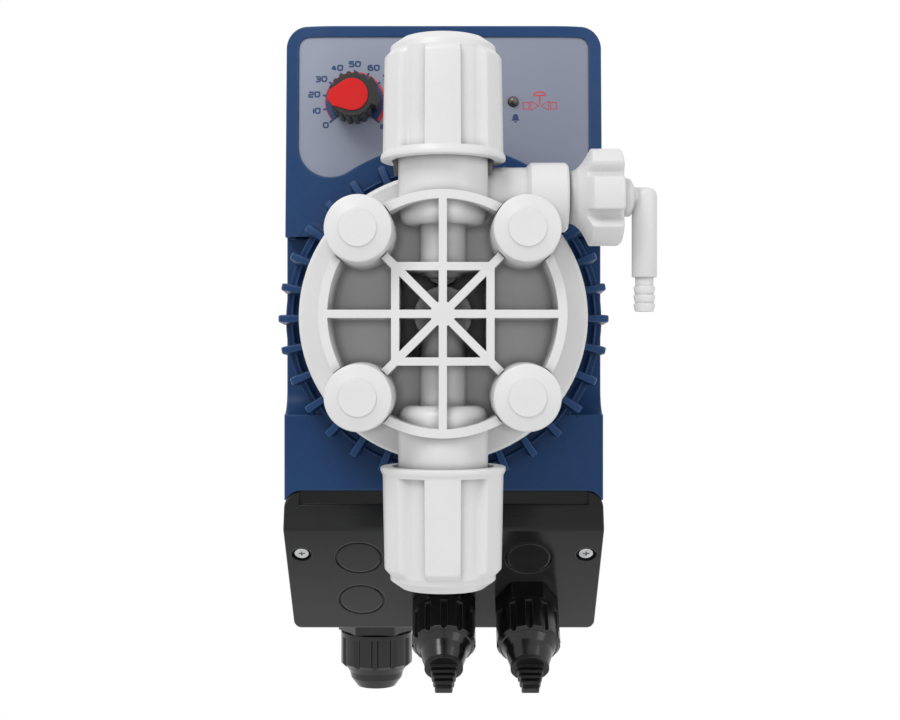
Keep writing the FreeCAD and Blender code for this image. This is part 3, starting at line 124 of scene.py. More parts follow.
class Finish(Wiring):
    """A material in the making: one shader, with nodes that vary it over the surface."""

    def __init__(self, name, **constants):
        self.material = bpy.data.materials.new(name)
        self.material.use_nodes = True
        super().__init__(self.material.node_tree)
        self.shader = self.tree.nodes["Principled BSDF"]
        self.set(**constants)

    def set(self, **values):
        """Feeds the shader's sockets, named with _ for a space."""
        for name, value in values.items():
            self.feed(self.shader.inputs[name.replace("_", " ")], value)

    def place(self, stretch=(1, 1, 1)):
        """Place on the piece, in metres, stretched along an axis by a number below 1."""
        here = self.node("ShaderNodeTexCoord", output="Object")
        if stretch == (1, 1, 1):
            return here
        return self.node("ShaderNodeVectorMath", {"operation": "MULTIPLY"}, {0: here, 1: stretch})

    def axis(self, index):
        """One coordinate of the place on the piece, in metres."""
        return self.node("ShaderNodeSeparateXYZ", {}, {0: self.place()}, index)

    def noise(self, size, detail=2.0, stretch=(1, 1, 1)):
        """Even cloudiness from 0 to 1, with spots of about the given size in metres."""
        return self.node("ShaderNodeTexNoise", {}, {
            "Vector": self.place(stretch), "Scale": 1 / size, "Detail": detail})

    def mix(self, share, low, high):
        """The colour low where share is 0 and high where it is 1."""
        return self.node("ShaderNodeMix", {"data_type": "RGBA"}, {0: share, 6: low, 7: high}, 2)

    def facing(self):
        """The surface's own direction."""
        return self.node("ShaderNodeNewGeometry", output="Normal")

    def soft_edges(self, radius):
        """The surface's direction with its corners rounded, and how near a corner is, 0 to 1."""
        rounded = self.node("ShaderNodeBevel", {"samples": 5}, {"Radius": radius})
        likeness = self.node("ShaderNodeVectorMath", {"operation": "DOT_PRODUCT"},
                             {0: rounded, 1: self.facing()}, "Value")
        return rounded, (1 - likeness).share(0.01, 0.12)

    def shelter(self, reach, start, end):
        """How deep in a groove or corner the surface lies, 0 to 1, seen from within a reach."""
        openness = self.node("ShaderNodeAmbientOcclusion", {"samples": 8}, {"Distance": reach}, "AO")
        return (1 - openness).share(start, end) * 0.9

    def bump(self, height, depth, normal):
        """Relief of a depth in metres on the surface's direction."""
        self.set(Normal=self.node("ShaderNodeBump", {}, {
            "Strength": 1.0, "Distance": depth, "Height": height, "Normal": normal}))


def rgb(red, green, blue):
    """Linear colour from the values that a screen shows."""
    return tuple(((v / 255 + 0.055) / 1.055) ** 2.4 if v > 10 else v / 3294.6
                 for v in (red, green, blue)) + (1,)


flow_size = 0.026
mottle_size = 0.0016
touch_size = 0.009
painted_shade_reach = 0.003


def moulded(name, dark, light, rubbed_and_highlit, roughness, grain_size, grain_depth, edge_r,
            painted_groove_shade=None, **constants):
    """Injection moulded plastic: flow marks, a fine grain, and edges rubbed smooth and paler, the paler
    edges partly wear and partly a painted highlight. Painted groove shade is the grey painted into deep
    grooves and corners, where shade falls."""
    finish = Finish(name, **constants)
    rounded, edge = finish.soft_edges(edge_r)
    flow = finish.noise(flow_size, 3.0) * 0.75 + finish.noise(mottle_size, 1.0) * 0.25
    skin = finish.mix(flow.share(0.3, 0.7), dark, light)
    # Painted shade: deep grooves and corners are greyed towards the painted groove shade colour.
    if painted_groove_shade:
        skin = finish.mix(finish.shelter(painted_shade_reach, 0.04, 0.5), skin, painted_groove_shade)
    # Paler edges: partly wear, partly a painted highlight.
    finish.set(Base_Color=finish.mix(edge * 0.75, skin, rubbed_and_highlit))
    handled = finish.noise(touch_size, 4.0)
    finish.set(Roughness=roughness + (handled - 0.5) * 0.14 - edge * 0.05)
    finish.bump(finish.noise(grain_size, 1.5), depth=grain_depth, normal=rounded)
    return finish.material


def dress(material, *names):
    """Gives nodes of the pump a material."""
    for name in names:
        slots = nodes[name].data.materials
        slots.clear()
        slots.append(material)


dull_black = moulded("dull_black_moulding", rgb(17, 17, 18), rgb(26, 26, 28), rgb(44, 44, 46),
                     roughness=0.48, grain_size=0.0005, grain_depth=0.00002, edge_r=0.0003)
dress(dull_black, "wall_bracket")


# Rear cover and front housing: the two blue shells of the case, moulded in a glass-filled
# plastic and drawn together by four long screws. The front one has the panel, the channel
# behind the liquid head and the block that the terminal box bolts under.
blue = moulded("blue_housing_moulding", rgb(27, 60, 104), rgb(33, 68, 113), rgb(74, 104, 148),
               roughness=0.40, grain_size=0.0006, grain_depth=0.000012, edge_r=0.0009,
               Specular_IOR_Level=0.2)
dress(blue, "rear_cover", "front_housing")


# Case screws and terminal box screws: pan heads with a cross recess, cold-headed in steel and
# zinc plated, sunk in round pockets. The long ones go through the corners of the channel into
# the rear cover.
box_face_slope = math.radians(42)
# Names, the way the head faces, and half the length of its recess.
screw_kinds = [
    (["case_screw_%d" % i for i in (1, 2, 3, 4)], Vector((0, -1, 0)), 0.0018),
    (["terminal_screw_left", "terminal_screw_right"],
     Vector((0, -math.cos(box_face_slope), -math.sin(box_face_slope))), 0.0014)]
recess_width = 0.0007
recess_depth = 0.0009
recess_taper = 0.6
face_depth = 0.00002
weld_gap = 0.000001
metal_edge_r = 0.00025
metal_cloud_size = 0.004
tool_mark_size = 0.0009


def plated(name, dark, light, roughness, turning):
    """Bare or plated metal, with fine marks of the tool drawn out along one axis, and paler edges that
    are partly wear and partly a painted highlight.
    """
    finish = Finish(name, Metallic=1.0)
    rounded, edge = finish.soft_edges(metal_edge_r)
    cloud = finish.noise(metal_cloud_size, 3.0)
    metal = finish.mix(cloud.share(0.3, 0.7), dark, light)
    # Paler edges: partly wear, partly a painted highlight.
    finish.set(Base_Color=finish.mix(edge * 0.5, metal, rgb(236, 236, 236)))
    marks = finish.noise(tool_mark_size, 2.0, turning)
    finish.set(Roughness=roughness + (marks - 0.5) * 0.2)
    finish.bump(marks, depth=0.00001, normal=rounded)
    return finish.material


def mesh_of(name, form):
    """A mesh from a form, which is used up."""
    mesh = bpy.data.meshes.new(name)
    form.to_mesh(mesh)
    form.free()
    return mesh


def made(name, form, material):
    """A new object from its form, with its material."""
    piece = bpy.data.objects.new(name, mesh_of(name, form))
    bpy.context.scene.collection.objects.link(piece)
    piece.data.materials.clear()
    piece.data.materials.append(material)
    return piece


def riding(name, form, material, body):
    """A new piece that rides on a body of the pump."""
    piece = made(name, form, material)
    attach(piece, body)
    return piece


def applied(piece):
    """The piece with its modifiers worked into its mesh."""
    bpy.context.view_layer.update()
    seen = piece.evaluated_get(bpy.context.evaluated_depsgraph_get())
    finished = bpy.data.meshes.new_from_object(seen)
    old = piece.data
    piece.modifiers.clear()
    piece.data = finished
    bpy.data.meshes.remove(old)
    return piece


def worked(piece, operation, form, use_self=False):
    """The piece after a Boolean with another form, whose own parts may cross with use_self."""
    tool = bpy.data.objects.new("tool", mesh_of("tool", form))
    work = piece.modifiers.new("work", "BOOLEAN")
    work.operation = operation
    work.use_self = use_self
    work.object = tool
    applied(piece)
    bpy.data.objects.remove(tool)
    return piece


def welded(node):
    """A copy of a node's mesh, with its faces joined along their edges."""
    form = bmesh.new()
    form.from_mesh(nodes[node].data)
    bmesh.ops.remove_doubles(form, verts=form.verts, dist=weld_gap)
    bmesh.ops.recalc_face_normals(form, faces=form.faces)
    return form


zinc = plated("zinc_plate", rgb(176, 178, 180), rgb(214, 215, 216), 0.24, turning=(1, 1, 1))
for names, outward, recess_reach in screw_kinds:
    for name in names:
        head = welded(name)
        face_out = max(v.co.dot(outward) for v in head.verts)
        face = [v.co.copy() for v in head.verts if v.co.dot(outward) > face_out - face_depth]
        face_middle = sum(face, Vector()) / len(face)
        screw = riding(name + "_crosshead", head, zinc, "pump")
        screw.data.shade_flat()
        punch = bmesh.new()
        for length, width in ((recess_reach, recess_width / 2), (recess_width / 2, recess_reach)):
            bar = bmesh.ops.create_cube(punch, size=2.0)["verts"]
            bmesh.ops.scale(punch, verts=bar, vec=(length, width, recess_depth))
            for v in bar:
                if v.co.z < 0:
                    v.co.x *= recess_taper
                    v.co.y *= recess_taper
        aim = outward.to_track_quat("Z", "Y").to_matrix().to_4x4()
        bmesh.ops.transform(punch, matrix=Matrix.Translation(face_middle) @ aim, verts=punch.verts)
        worked(screw, "DIFFERENCE", punch, use_self=True)
        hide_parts(name)


# Terminal box: a deep black hood under the case, with a lip and a sloping face that the cable glands
# screw into. Its mould is polished, so the skin is glossy. Its colour is a painted reflection, darkest
# at its top and paler lower down, with painted shade in the shallow strip just under the case and in
# the grooves round the knock-outs, and a painted highlight on its edges.
hood_low, hood_high = (Vector(corner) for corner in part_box("terminal_box"))
painted_reflection_span = (hood_high.z - 0.005, hood_low.z + 0.006)
shade_strip_foot = (-0.0584, -0.0577)
shade_strip_end = (0.0474, 0.048)
knockout_shade_reach = 0.001
hood_edge_r = 0.0008
hood_cloud_size = 0.012
hood_grain_size = 0.0012
gloss_black = Finish("gloss_black_moulding", Specular_IOR_Level=0.26)
hood_rounded, hood_edge_highlight = gloss_black.soft_edges(hood_edge_r)
# Painted reflection: the black is darkest at the top and pales lower down.
painted_reflection_share = gloss_black.axis(2).share(*painted_reflection_span)
hood_cloud = (gloss_black.noise(hood_cloud_size, 3.0) - 0.5) * 0.12
hood_tone_with_painted_light = gloss_black.mix(painted_reflection_share + hood_cloud, rgb(12, 13, 15), rgb(56, 56, 56))
from_middle = gloss_black.maths("ABSOLUTE", gloss_black.axis(0))
# Painted shade: a near-black strip just under the case.
painted_shade_strip = gloss_black.axis(2).share(*shade_strip_foot) * (1 - from_middle.share(*shade_strip_end))
hood_tone_with_painted_light = gloss_black.mix(painted_shade_strip * 0.9, hood_tone_with_painted_light, rgb(4, 5, 8))
# Painted shade in the grooves round the knock-outs and at the seam under the case.
hood_tone_with_painted_light = gloss_black.mix(gloss_black.shelter(knockout_shade_reach, 0.05, 0.4), hood_tone_with_painted_light, rgb(4, 4, 5))
# Painted highlight on the hood's edges.
gloss_black.set(Base_Color=gloss_black.mix(hood_edge_highlight * 0.35, hood_tone_with_painted_light, rgb(96, 96, 97)))
gloss_black.set(Roughness=0.15 + (gloss_black.noise(touch_size, 4.0) - 0.5) * 0.08)
gloss_black.bump(gloss_black.noise(hood_grain_size, 1.5), depth=0.000003, normal=hood_rounded)
dress(gloss_black.material, "terminal_box")


# Cable glands: an open one for the power cable, and two for the signal cables that are shut
# with blanking plugs. Bodies and nuts are black polyamide, seals and plugs are soft rubber.
gland_black = moulded("gland_moulding", rgb(10, 10, 11), rgb(17, 17, 18), rgb(60, 61, 63),
                      roughness=0.2, grain_size=0.0008, grain_depth=0.000006, edge_r=0.0004)
dress(gland_black, "power_gland_body", "power_gland_nut",
      *["signal_gland_%s_%s" % (piece, place) for piece in ("body", "nut")
        for place in ("middle", "right")])
rubber = moulded("seal_rubber", rgb(16, 16, 17), rgb(24, 24, 25), rgb(46, 46, 48),
                 roughness=0.55, grain_size=0.0003, grain_depth=0.000012, edge_r=0.0002)
dress(rubber, "power_gland_seal", "signal_gland_plug_middle", "signal_gland_plug_right")


# Panel film: a grey polyester film, stuck into a shallow recess of the bulged panel, with a fine
# texture against glare. It has a painted shade that darkens it towards its lower right, and a painted
# shadow along its edges.
film_low, film_high = (Vector(corner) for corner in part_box("panel_overlay"))
film_size = film_high - film_low
film_texture = 0.00035
film_edge_r = 0.0003
film_cloud_size = 0.02
film_touch_size = 0.006
film = Finish("panel_film", Specular_IOR_Level=0.4)
film_rounded, film_edge_shadow = film.soft_edges(film_edge_r)
rightward = (film.axis(0) - film_low.x) * (1 / film_size.x)
upward = (film.axis(2) - film_low.z) * (1 / film_size.z)
film_cloud = (film.noise(film_cloud_size, 2.0) - 0.5) * 0.12
# Painted shade, darker towards the lower right.
painted_shade_share = (rightward * 0.6 + (1 - upward) * 0.4 + film_cloud).share(0.1, 0.9)
film_tone_with_painted_shade = film.mix(painted_shade_share, rgb(150, 156, 174), rgb(130, 135, 153))
# Painted shadow along the film's edges.
film.set(Base_Color=film.mix(film_edge_shadow, film_tone_with_painted_shade, rgb(70, 76, 92)))
film.set(Roughness=0.46 + (film.noise(film_touch_size, 3.0) - 0.5) * 0.12)
film.bump(film.noise(film_texture, 1.0), depth=0.000006, normal=film_rounded)
dress(film.material, "panel_overlay")


# Dial print: navy numbers from 0 to 100, short ticks, a navy ring behind the knob that is open
# below, and a thin red arc that swells towards 100. Screen-printed ink, a hair proud of the film.
dial_low, dial_high = (Vector(corner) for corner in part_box("knob_shaft"))
dial_middle = (dial_low + dial_high) / 2
end_turn = 130.5
arc_steps = 72
ring_inner_r = 0.0060
ring_outer_r = 0.00975
arc_start_width = 0.0002
arc_middle_width = 0.00045
arc_end_width = 0.0030
arc_swell_start = 0.55
tick_inner_r = 0.0096
tick_outer_r = 0.01095
tick_width = 0.00065
end_line_inner_r = 0.0066
end_line_outer_r = 0.0111
digit_height = 0.00160
digit_width = 0.00150
digit_stroke = 0.00056
digit_gap = 0.00008
digit_corner = 0.42
number_drop = 0.0003
# The middle of each number: its radius on the dial, and its turn clockwise from the top.
number_place = {0: (0.0124, -128.5), 10: (0.0131, -102.3), 20: (0.0140, -78.3),
                30: (0.0139, -54.6), 40: (0.01327, -26.9), 50: (0.01314, 0), 60: (0.01346, 28.4),
                70: (0.01406, 53.5), 80: (0.0140, 78.3), 90: (0.0132, 102.3), 100: (0.01384, 126.7)}
ink_depth = 0.00006
ink_patch_size = 0.0011
ink_speck_size = 0.00018
round_end = (0.02, 0.15, 0.45, 1)


def faces_of(node, **settings):
    """The faces of a node, for rays to hit."""
    mesh = nodes[node].data
    return BVHTree.FromPolygons([v.co for v in mesh.vertices], [p.vertices for p in mesh.polygons],
                                **settings)


film_faces = faces_of("panel_overlay")
ray_start_y = cad_box[0][1] - 0.1
backward = Vector((0, 1, 0))


def on_film(x, z, lift):
    """The point of the film's face at x and z, lifted off it."""
    hit = film_faces.ray_cast(Vector((x, ray_start_y, z)), backward)[0]
    return Vector((x, hit.y - lift, z))


def clock(r, turn):
    """A point on the dial, its turn in degrees from the top, clockwise."""
    angle = math.radians(turn)
    return Vector((dial_middle.x + r * math.sin(angle), dial_middle.z + r * math.cos(angle)))


def ribbon(form, points, widths, closed=False):
    """A flat band along points, with a width at each."""
    count = len(points)
    sides = []
    for i, (point, width) in enumerate(zip(points, widths)):
        ahead = points[(i + 1) % count] if closed or i + 1 < count else point
        behind = points[i - 1] if closed or i > 0 else point
        run = (ahead - behind).normalized()
        side = Vector((-run.y, run.x)) * width / 2
        sides.append([form.verts.new((p.x, 0, p.y)) for p in (point - side, point + side)])
    for i in range(count if closed else count - 1):
        low, high = sides[i], sides[(i + 1) % count]
        form.faces.new((low[0], high[0], high[1], low[1]))


def pill(form, start, end, width):
    """A short line with round ends."""
    length = (end - start).length
    half = width / 2
    steps = [share * half for share in round_end]
    steps += [length - step for step in reversed(steps)]
    widths = []
    for step in steps:
        inset = min(step, length - step, half)
        widths.append(2 * math.sqrt(2 * half * inset - inset * inset))
    ribbon(form, [start.lerp(end, step / length) for step in steps], widths)


def print_ink(name, form, ink, lift):
    """The flat shapes, laid on the film as a thin coat of ink."""
    for v in form.verts:
        v.co = on_film(v.co.x, v.co.z, lift + ink_depth / 2)
    coat = riding(name, form, ink, "pump")
    depth = coat.modifiers.new("depth", "SOLIDIFY")
    depth.thickness = ink_depth
    depth.offset = 0
    return applied(coat)


def screen_ink(name, colour, thin):
    """Screen ink: a little thin in places, over the texture of the film."""
    finish = Finish(name)
    cover = finish.noise(ink_patch_size, 3.0) * 0.6 + finish.noise(ink_speck_size, 1.0) * 0.4
    finish.set(Base_Color=finish.mix(cover.share(0.35, 0.75), colour, thin))
    finish.set(Roughness=0.42 + (cover - 0.5) * 0.2)
    finish.bump(finish.noise(film_texture, 1.0), depth=0.000005, normal=finish.facing())
    return finish.material


navy = screen_ink("navy_ink", rgb(22, 52, 98), rgb(34, 66, 112))
red_ink = screen_ink("red_ink", rgb(206, 40, 44), rgb(214, 62, 64))

ring = bmesh.new()
arc_turns = [end_turn * (2 * k / arc_steps - 1) for k in range(arc_steps + 1)]
ring_middle_r = (ring_inner_r + ring_outer_r) / 2
ribbon(ring, [clock(ring_middle_r, turn) for turn in arc_turns],
       [ring_outer_r - ring_inner_r] * len(arc_turns))
print_ink("dial_ring", ring, navy, 0)

arc = bmesh.new()
arc_widths = []
for k in range(arc_steps + 1):
    swell = max(0, k / arc_steps - arc_swell_start) ** 2
    arc_widths.append(arc_start_width + arc_middle_width * k / arc_steps + arc_end_width * swell)
ribbon(arc, [clock(ring_outer_r + width / 2, turn) for turn, width in zip(arc_turns, arc_widths)],
       arc_widths)
print_ink("dial_red_arc", arc, red_ink, 0)

ticks = bmesh.new()
for value in range(10, 100, 10):
    turn = end_turn * (value / 50 - 1)
    pill(ticks, clock(tick_inner_r, turn), clock(tick_outer_r, turn), tick_width)
for turn in (-end_turn, end_turn):
    pill(ticks, clock(end_line_inner_r, turn), clock(end_line_outer_r, turn), tick_width)
print_ink("dial_ticks", ticks, navy, ink_depth)

# The strokes of each digit, through points in a box that is one wide and one high.
digit_lines = {
    "0": [[(0.5, 1), (0, 1), (0, 0), (1, 0), (1, 1), (0.5, 1)]],
    "1": [[(0, 1), (0, 0)]],
    "2": [[(0, 1), (1, 1), (1, 0.5), (0, 0.5), (0, 0), (1, 0)]],
    "3": [[(0, 1), (1, 1), (1, 0.5), (0.2, 0.5)], [(0.6, 0.5), (1, 0.5), (1, 0), (0, 0)]],
    "4": [[(0.72, 0), (0.72, 1), (0, 0.28), (1.05, 0.28)]],
    "5": [[(1, 1), (0.02, 1), (0.02, 0.56), (1, 0.56), (1, 0), (0, 0)]],
    "6": [[(0.95, 1), (0, 1), (0, 0), (1, 0), (1, 0.58), (0, 0.58)]],
    "7": [[(0, 1), (1, 1), (0.3, 0)]],
    "8": [[(0.5, 0.5), (0, 0.5), (0, 0), (1, 0), (1, 0.5), (0, 0.5), (0, 1), (1, 1), (1, 0.5),
           (0.5, 0.5)]],
    "9": [[(0.05, 0), (1, 0), (1, 1), (0, 1), (0, 0.42), (1, 0.42)]]}
corner_steps = 5


def eased(points, radius):
    """The same line with its inner corners rounded."""
    line = [points[0]]
    for before, corner, after in zip(points, points[1:], points[2:]):
        back = before - corner
        on = after - corner
        inset = min(radius, back.length * 0.49, on.length * 0.49)
        start = corner + back.normalized() * inset
        end = corner + on.normalized() * inset
        for k in range(corner_steps + 1):
            t = k / corner_steps
            line.append(start * (1 - t) ** 2 + corner * 2 * t * (1 - t) + end * t ** 2)
    return line + [points[-1]]


numbers = bmesh.new()
for value, (r, turn) in number_place.items():
    widths = [0 if digit == "1" else digit_width for digit in str(value)]
    total = sum(widths) + (len(widths) - 1) * (digit_stroke + digit_gap)
    number_middle = clock(r, turn)
    left = number_middle.x - total / 2
    for digit, width in zip(str(value), widths):
        for points in digit_lines[digit]:
            line = [Vector((left + x * digit_width,
                            number_middle.y - number_drop + (z - 0.5) * digit_height))
                    for x, z in points]
            line = eased(line, digit_height * digit_corner)
            ribbon(numbers, line, [digit_stroke] * len(line))
        left += width + digit_stroke + digit_gap
print_ink("dial_numbers", numbers, navy, 0)


# Panel symbols: a red valve between two pipe ends, a navy bell for the alarm and a navy dot,
# beside the indicator. They are plain signs in the same screen inks as the dial.
lens_low, lens_high = (Vector(corner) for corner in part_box("led_lens"))
lens_middle = (lens_low + lens_high) / 2
line_width = 0.00038
valve_middle = Vector((lens_middle.x + 0.0090, lens_middle.z - 0.0014))
valve_half = 0.0030
valve_rise = 0.0015
valve_stem = valve_rise * 2.1
wheel_half = valve_half * 0.7
wheel_rise = valve_rise * 0.8
pipe_gap = line_width * 1.6
pipe_length = 0.0020
pipe_half = valve_rise * 0.75
bell_middle = Vector((lens_middle.x + 0.0008, lens_middle.z - 0.0056))
bell_half = 0.0014
bell_waist = bell_half * 0.7
bell_clapper = bell_half * 0.35
dot_middle = Vector((lens_middle.x - 0.00375, lens_middle.z - 0.0010))
dot_r = 0.0004


def outline(form, middle, points, closed=True):
    """A line through points, given from the middle of a sign."""
    ribbon(form, [middle + Vector(point) for point in points], [line_width] * len(points), closed)


def bow(width, height, turns):
    """Points on an oval, at turns in degrees from the right, anticlockwise."""
    return [(width * math.cos(math.radians(turn)), height * math.sin(math.radians(turn)))
            for turn in turns]


def plate(form, middle, points):
    """A filled shape through points, given from the middle of a sign."""
    form.faces.new([form.verts.new((middle.x + x, 0, middle.y + z)) for x, z in points])


valve = bmesh.new()
for way in (-1, 1):
    face_x = way * valve_half
    outline(valve, valve_middle, [(way * line_width, 0), (face_x, valve_rise), (face_x, -valve_rise)])
    near_x = face_x + way * pipe_gap
    far_x = near_x + way * pipe_length
    outline(valve, valve_middle, [(near_x, pipe_half), (far_x, pipe_half), (far_x, -pipe_half),
                                  (near_x, -pipe_half)])
outline(valve, valve_middle, [(0, line_width), (0, valve_stem)], False)
outline(valve, valve_middle + Vector((0, valve_stem + line_width)),
        bow(wheel_half, wheel_rise, range(0, 181, 20)))
print_ink("valve_symbol", valve, red_ink, 0)

bell = bmesh.new()
bell_rim = [(-bell_half, -bell_half * 0.6), (-bell_waist, -bell_half * 0.2)]
bell_dome = [(x, bell_half * 0.3 + z) for x, z in bow(bell_waist, bell_waist, range(180, -1, -20))]
plate(bell, bell_middle, bell_rim + bell_dome + [(-x, z) for x, z in reversed(bell_rim)])
pill(bell, bell_middle + Vector((-bell_clapper, -bell_half * 0.95)),
     bell_middle + Vector((bell_clapper, -bell_half * 0.95)), line_width)
plate(bell, dot_middle, bow(dot_r, dot_r, range(0, 360, 30)))
print_ink("bell_symbol", bell, navy, 0)


# Indicator: a smoked dome of clear plastic over a small lamp, pressed into the panel.
# Its wall is cloudy, and it is painted paler towards the top, a painted highlight of the light from
# above.
lens_cloud_size = 0.0008
lens_touch_size = 0.001
smoked = Finish("smoked_lens", Coat_Weight=0.6, Coat_Roughness=0.04)
# Painted highlight: paler towards the top.
lens_painted_top_light = smoked.axis(2).share(lens_low.z, lens_high.z)
lens_cloud = (smoked.noise(lens_cloud_size) - 0.5) * 0.3
smoked.set(Base_Color=smoked.mix(lens_painted_top_light + lens_cloud, rgb(38, 36, 36), rgb(104, 88, 78)))
smoked.set(Roughness=0.16 + smoked.noise(lens_touch_size) * 0.08)
dress(smoked.material, "led_lens")


# Control board and potentiometer: green laminate with copper tracks under lacquer, on four posts
# behind the panel, and a round potentiometer whose steel shaft carries the stroke knob.
thread_size = 0.0014
track_scale = 160.0
track_width = 0.09
laminate = Finish("board_laminate", Coat_Weight=0.4)
warp = laminate.noise(thread_size, 1.0, (1, 1, 0.15))
weft = laminate.noise(thread_size, 1.0, (0.15, 1, 1))
weave = warp * 0.5 + weft * 0.5
on_board = laminate.node("ShaderNodeCombineXYZ", {}, {0: laminate.axis(0), 1: laminate.axis(2)})
tracks = laminate.node("ShaderNodeTexBrick", {"squash": 0.6}, {
    "Vector": on_board, "Scale": track_scale, "Mortar Size": track_width}, "Fac")
green = laminate.mix(weave, rgb(14, 66, 44), rgb(20, 84, 54))
laminate.set(Base_Color=laminate.mix(tracks, green, rgb(60, 112, 62)))
laminate.set(Roughness=0.3 + weave * 0.12)
dress(laminate.material, "control_board")
dress(dull_black, "potentiometer")
steel = plated("turned_steel", rgb(150, 152, 156), rgb(190, 191, 194), 0.3, turning=(1, 0.08, 1))
dress(steel, "knob_shaft")


# Stroke knob: a black moulding with round grip ribs and a smooth tail opposite its pointer,
# slightly grippy to the touch, with a red plate snapped into its face.
knob_black = moulded("knob_moulding", rgb(24, 24, 25), rgb(34, 34, 35), rgb(74, 74, 74),
                     roughness=0.38, grain_size=0.0004, grain_depth=0.000016, edge_r=0.0003)
dress(knob_black, "stroke_knob")
plate_red = moulded("pointer_plate", rgb(218, 32, 34), rgb(224, 40, 40), rgb(236, 28, 32),
                    roughness=0.38, grain_size=0.0005, grain_depth=0.000008, edge_r=0.0004,
                    Specular_IOR_Level=0.2)
dress(plate_red, "knob_pointer")


# Finned drum: the blue cup over the solenoid, moulded with thirty-two radial fins that carry its
# heat away. Each fin has a round tip and gets thicker towards the foot, so that it leaves the
# mould, and the wall stands on a low rounded foot ring.
mm = 0.001
skin_gap = 0.0000005
sharp_angle = math.radians(34)


def skinned(rings, closed=True):
    """A skin through rings of points, smooth but for its sharp corners."""
    form = bmesh.new()
    grid = [[form.verts.new(point) for point in ring] for ring in rings]
    for i in range(len(grid) if closed else len(grid) - 1):
        ring, after = grid[i], grid[(i + 1) % len(grid)]
        for j in range(len(ring)):
            k = (j + 1) % len(ring)
            form.faces.new((ring[j], ring[k], after[k], after[j]))
    bmesh.ops.remove_doubles(form, verts=form.verts, dist=skin_gap)
    bmesh.ops.recalc_face_normals(form, faces=form.faces)
    for edge in form.edges:
        edge.smooth = edge.calc_face_angle(0) < sharp_angle
    for face in form.faces:
        face.smooth = True
    return form


def about_y(middle, r, turn, y):
    """A point about the line that runs back through a middle: its radius in millimetres, its
    turn in degrees from the top, clockwise, and its y in metres."""
    angle = math.radians(turn)
    return Vector((middle.x + r * mm * math.sin(angle), y, middle.z + r * mm * math.cos(angle)))


drum_low, drum_high = (Vector(corner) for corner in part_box("finned_drum"))
drum_middle = (drum_low + drum_high) / 2
drum_tip_r = (drum_high.x - drum_low.x) / 2 / mm
drum_depth = (drum_high.y - drum_low.y) / mm
fin_count = 32
fin_pitch = 360 / fin_count
fin_front_half = 1.15
fin_back_half = 1.75
fin_tip_round = 2.4
# Across a fin: the share of its half thickness, and of its reach.
fin_section = [(-1.0, 0), (-0.999, 0.9), (-0.86, 0.985), (-0.5, 1), (0.5, 1), (0.86, 0.985),
               (0.999, 0.9), (1.0, 0)]
between_fins = (0.35, 0.5, 0.65)
drum_wall = 3.5
# Radius, depth behind the drum's face, and how far the fins stand out, 0 to 1.
drum_profile = [
    (0, drum_wall, 0), (43.0, drum_wall, 0), (46.0, 14.5, 0), (51.3, 14.5, 0), (51.3, 14.1, 0.15),
    (51.2, 13.7, 0.3), (50.9, 13.3, 0.5), (50.5, 13.3, 0.6), (50.2, 13.6, 0.75), (49.6, 13.9, 0.9),
    (48.3, 13.9, 1), (47.6, 13.4, 1), (47.2, 6.0, 1), (47.0, 3.0, 1), (46.9, 1.6, 1),
    (46.8, 0.7, 0.65), (46.7, 0.2, 0.3), (46.6, 0, 0), (0, 0, 0)]

drum_rings = []
for r, depth, fin_share in drum_profile:
    y = drum_low.y + depth * mm
    fin_half = fin_front_half + (fin_back_half - fin_front_half) * depth / drum_depth
    reach = 0 if fin_share == 0 else drum_tip_r - r - fin_tip_round * (1 - fin_share) ** 2
    ring = []
    for i in range(fin_count):
        for side, share in fin_section:
            off = math.degrees(side * fin_half / drum_tip_r)
            ring.append(about_y(drum_middle, r + reach * share, i * fin_pitch + off, y))
        for share in between_fins:
            ring.append(about_y(drum_middle, r, (i + share) * fin_pitch, y))
    drum_rings.append(ring)
drum = riding("finned_drum_moulding", skinned(drum_rings, False), blue, "pump")
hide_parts("finned_drum")


